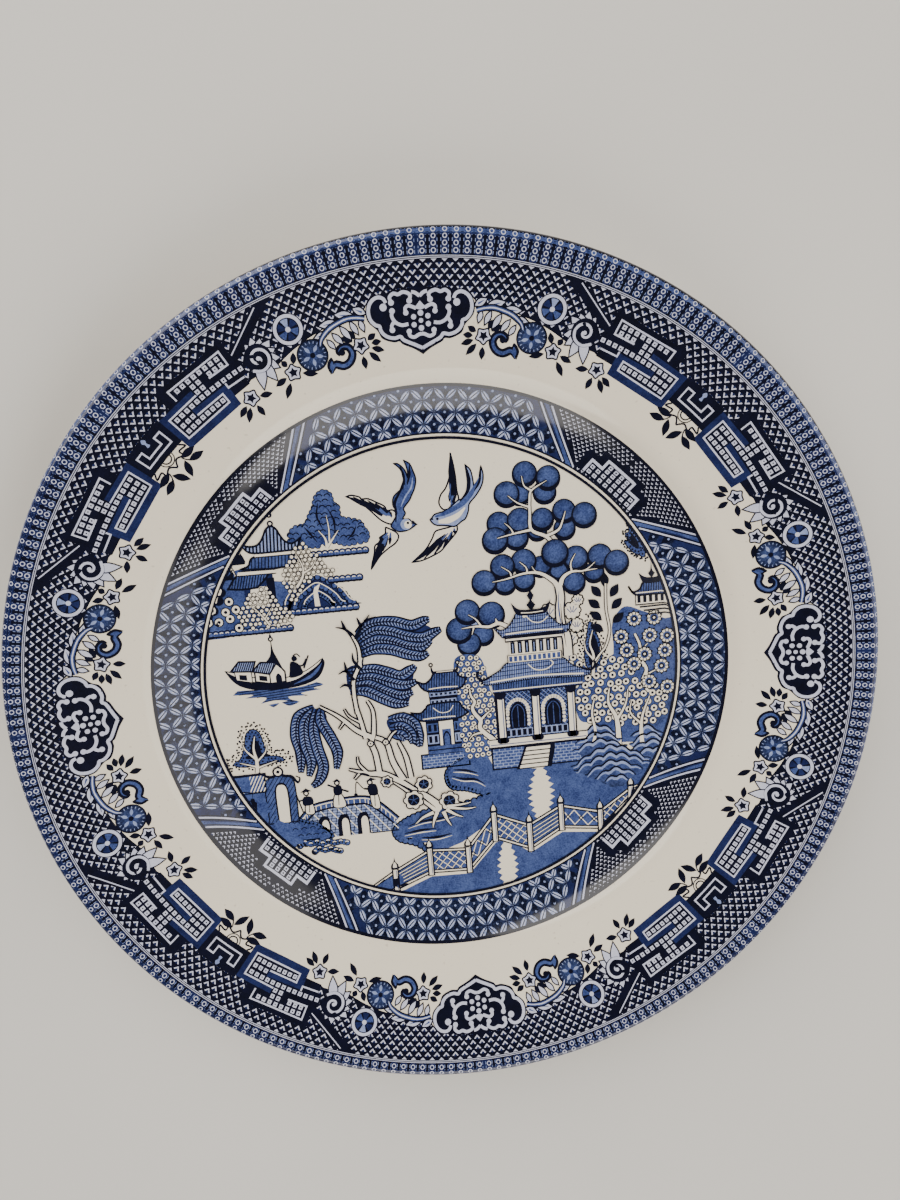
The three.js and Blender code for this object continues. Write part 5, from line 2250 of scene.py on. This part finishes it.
low_left += shimmer(14.4, -58, -75, 3, -1) + [(11, -78), (-14, -78), (-30, -76)]
low_right = [
    (15.6, -57.4), (22.4, -62.5), (33.1, -56.5), (46, -58), (60, -47), (70, -47), (60, -60), (40, -75),
    (15, -78)
]
low_right += list(reversed(shimmer(14.4, -58, -75, 3, 1)))
for water in (low_left, low_right):
    scene.level = 0
    scene.area("blue", water)

# The fence across the front: turned posts with finials, and a different pattern in each panel.
posts = (
    (-22.5, -63, -71), (-10.8, -57, -66.4), (1.8, -58, -67), (11, -47, -57), (22.4, -52, -62),
    (33.1, -46.5, -55.8), (46, -50, -57.5), (56.5, -43, -48)
)


def fence_panel(left, right, pattern):
    """The panel between two posts, each given by its place, top and foot: rails and a pattern."""
    corners = [
        (left[0], left[1] - 0.8), (right[0], right[1] - 0.8), (right[0], right[2] + 1.2),
        (left[0], left[2] + 1.2)
    ]

    def across(share, height):
        x = left[0] + (right[0] - left[0]) * share
        top = corners[0][1] + (corners[1][1] - corners[0][1]) * share
        low = corners[3][1] + (corners[2][1] - corners[3][1]) * share
        return x, top + (low - top) * height

    level = scene.level
    scene.area("blue", corners)
    lattice = scene.level
    if pattern == "bars":
        for height in (0.24, 0.42, 0.6, 0.78):
            scene.level = lattice
            scene.straight("navy", [across(0, height), across(1, height)], 0.62)
            scene.straight("white", [across(0, height), across(1, height)], 0.26)
    elif pattern == "cross":
        for k in range(3):
            for share_a, share_b in ((k / 3, (k + 1) / 3), ((k + 1) / 3, k / 3)):
                scene.level = lattice + (share_a > share_b)
                scene.straight("white", [across(share_a, 0.12), across(share_b, 0.88)], 0.3)
            scene.level = lattice + 2
            middle = across((k + 0.5) / 3, 0.5)
            scene.area("navy", [
                (middle[0] - 0.9, middle[1]), (middle[0], middle[1] + 0.9), (middle[0] + 0.9, middle[1]),
                (middle[0], middle[1] - 0.9)
            ])
            scene.disc("white", *middle, 0.35, 6)
    else:
        scene.level = lattice
        hatch("navy", corners, 48, 1.9, 0.55)
        scene.level = lattice + 1
        hatch("white", corners, 48, 1.9, 0.24)
        scene.level = lattice + 2
        hatch("white", corners, -42, 1.9, 0.26)
    for height in (0, 1):
        scene.level = lattice + 5
        scene.straight("navy", [across(0, height), across(1, height)], 1.35)
        scene.straight("white", [across(0, height), across(1, height)], 0.45)
    scene.level = level


panel_patterns = ("bars", "lattice", "cross", "lattice", "bars", "cross", "lattice")
for left, right, pattern in zip(posts, posts[1:], panel_patterns):
    scene.level = 8
    fence_panel(left, right, pattern)
scene.level = 8
fence_panel((-30, -67.5, -73), posts[0], "bars")
scene.level = 8
fence_panel(posts[-1], (70, -41, -46), "lattice")
for x, top, bottom in posts:
    scene.level = 20
    scene.block("navy", x - 1.15, bottom - 0.3, x + 1.15, top)
    scene.block("white", x - 0.65, bottom, x + 0.65, top - 0.2)
    scene.straight("blue", [(x + 0.35, bottom + 0.4), (x + 0.35, top - 0.5)], 0.25)
    scene.shape("navy", [
        (x - 1.3, top + 0.1, 0), (x + 1.3, top + 0.1, 0), (x + 1.15, top + 1.5), (x + 0.35, top + 2.6),
        (x, top + 4.2, 0), (x - 0.35, top + 2.6), (x - 1.15, top + 1.5)
    ])
    scene.shape("white", [
        (x - 0.6, top + 0.6, 0), (x + 0.6, top + 0.6, 0), (x + 0.6, top + 1.4), (x, top + 2.6),
        (x - 0.6, top + 1.4)
    ])

lay_print("scene", [scene, scene_edge], scene_inks, "centre_scene_print")

# ---------------------------------------------------------------------------------------------
# The mark under the foot. A small blue print in the hollow of the foot ring, of this plate's own
# making: two rings round a sprig of leaves, with no lettering.
def under_foot(x, y, lift):
    """A place on the underside, with its normal: the print is turned over to face down."""
    return (-x * MM, y * MM, (foot_recess - lift) * MM), (0, 0, -1)


mark = Drawing()
mark.level = 3
mark.ring("navy", 0, 0, 14, 0.9, 96)
mark.ring("navy", 0, 0, 12.4, 0.35, 96)
mark.line("navy", [(-1.2, -9.4), (0.4, -5.4), (-0.3, -0.6), (0.2, 4.6)], (0.9, 0.7, 0.4))
for x, y, turn, length in (
    (0.2, 4.4, 90, 5.2), (0, 2.4, 145, 5.4), (0, 2, 35, 5.4), (-0.2, -1, 150, 6), (-0.2, -1.4, 30, 6),
    (0.2, -4.6, 155, 5.4), (0.3, -5, 25, 5.4)
):
    mark.level = 4
    mark.leaf("navy", x, y, turn, length, 2.3)
lay_print("backstamp", [mark], {"navy": navy_ink}, "backstamp_print", under_foot)

# ---------------------------------------------------------------------------------------------
# The surroundings: a plain pale table, soft studio light, and the camera above the plate.
table = new_mesh("table", [(-2, -2, 0), (2, -2, 0), (2, 2, 0), (-2, 2, 0)], [], [(0, 1, 2, 3)])
table_finish = Finish("pale_table")
table_finish.surface(
    Base_Color=table_finish.blend(table_finish.noise(8), tint(214, 212, 208), tint(222, 220, 216)),
    Roughness=0.7
)
table.data.materials.append(table_finish.material)


def softbox(name, place, size, power):
    """A round softbox that looks at the middle of the plate."""
    light = bpy.data.lights.new(name, "AREA")
    light.shape = "DISK"
    light.size = size
    light.energy = power
    light.color = (1.0, 0.955, 0.885)
    lamp = bpy.data.objects.new(name, light)
    bpy.context.scene.collection.objects.link(lamp)
    lamp.location = place
    lamp.rotation_euler = (-Vector(place)).to_track_quat("-Z", "Y").to_euler()


softbox("key_light", (-0.9, 1.3, 1.0), size=2.2, power=50)
softbox("fill_light", (1.6, -0.2, 1.3), size=2.6, power=34)
softbox("low_light", (0.15, -1.5, 1.0), size=1.4, power=20)
world = bpy.data.worlds.new("studio")
bpy.context.scene.world = world
world.use_nodes = True
world.node_tree.nodes["Background"].inputs["Color"].default_value = (1.0, 0.98, 0.95, 1)
world.node_tree.nodes["Background"].inputs["Strength"].default_value = 0.16

camera = bpy.data.objects.new("camera", bpy.data.cameras.new("camera"))
bpy.context.scene.collection.objects.link(camera)
camera.data.sensor_width = 36
camera.data.lens = 29.27
camera.data.clip_start = 0.01
camera.location = (-0.01808, 0.08467, 0.30029)
camera.rotation_euler = [math.radians(turn) for turn in (-11.483, -4.765, -4.62)]
bpy.context.scene.camera = camera
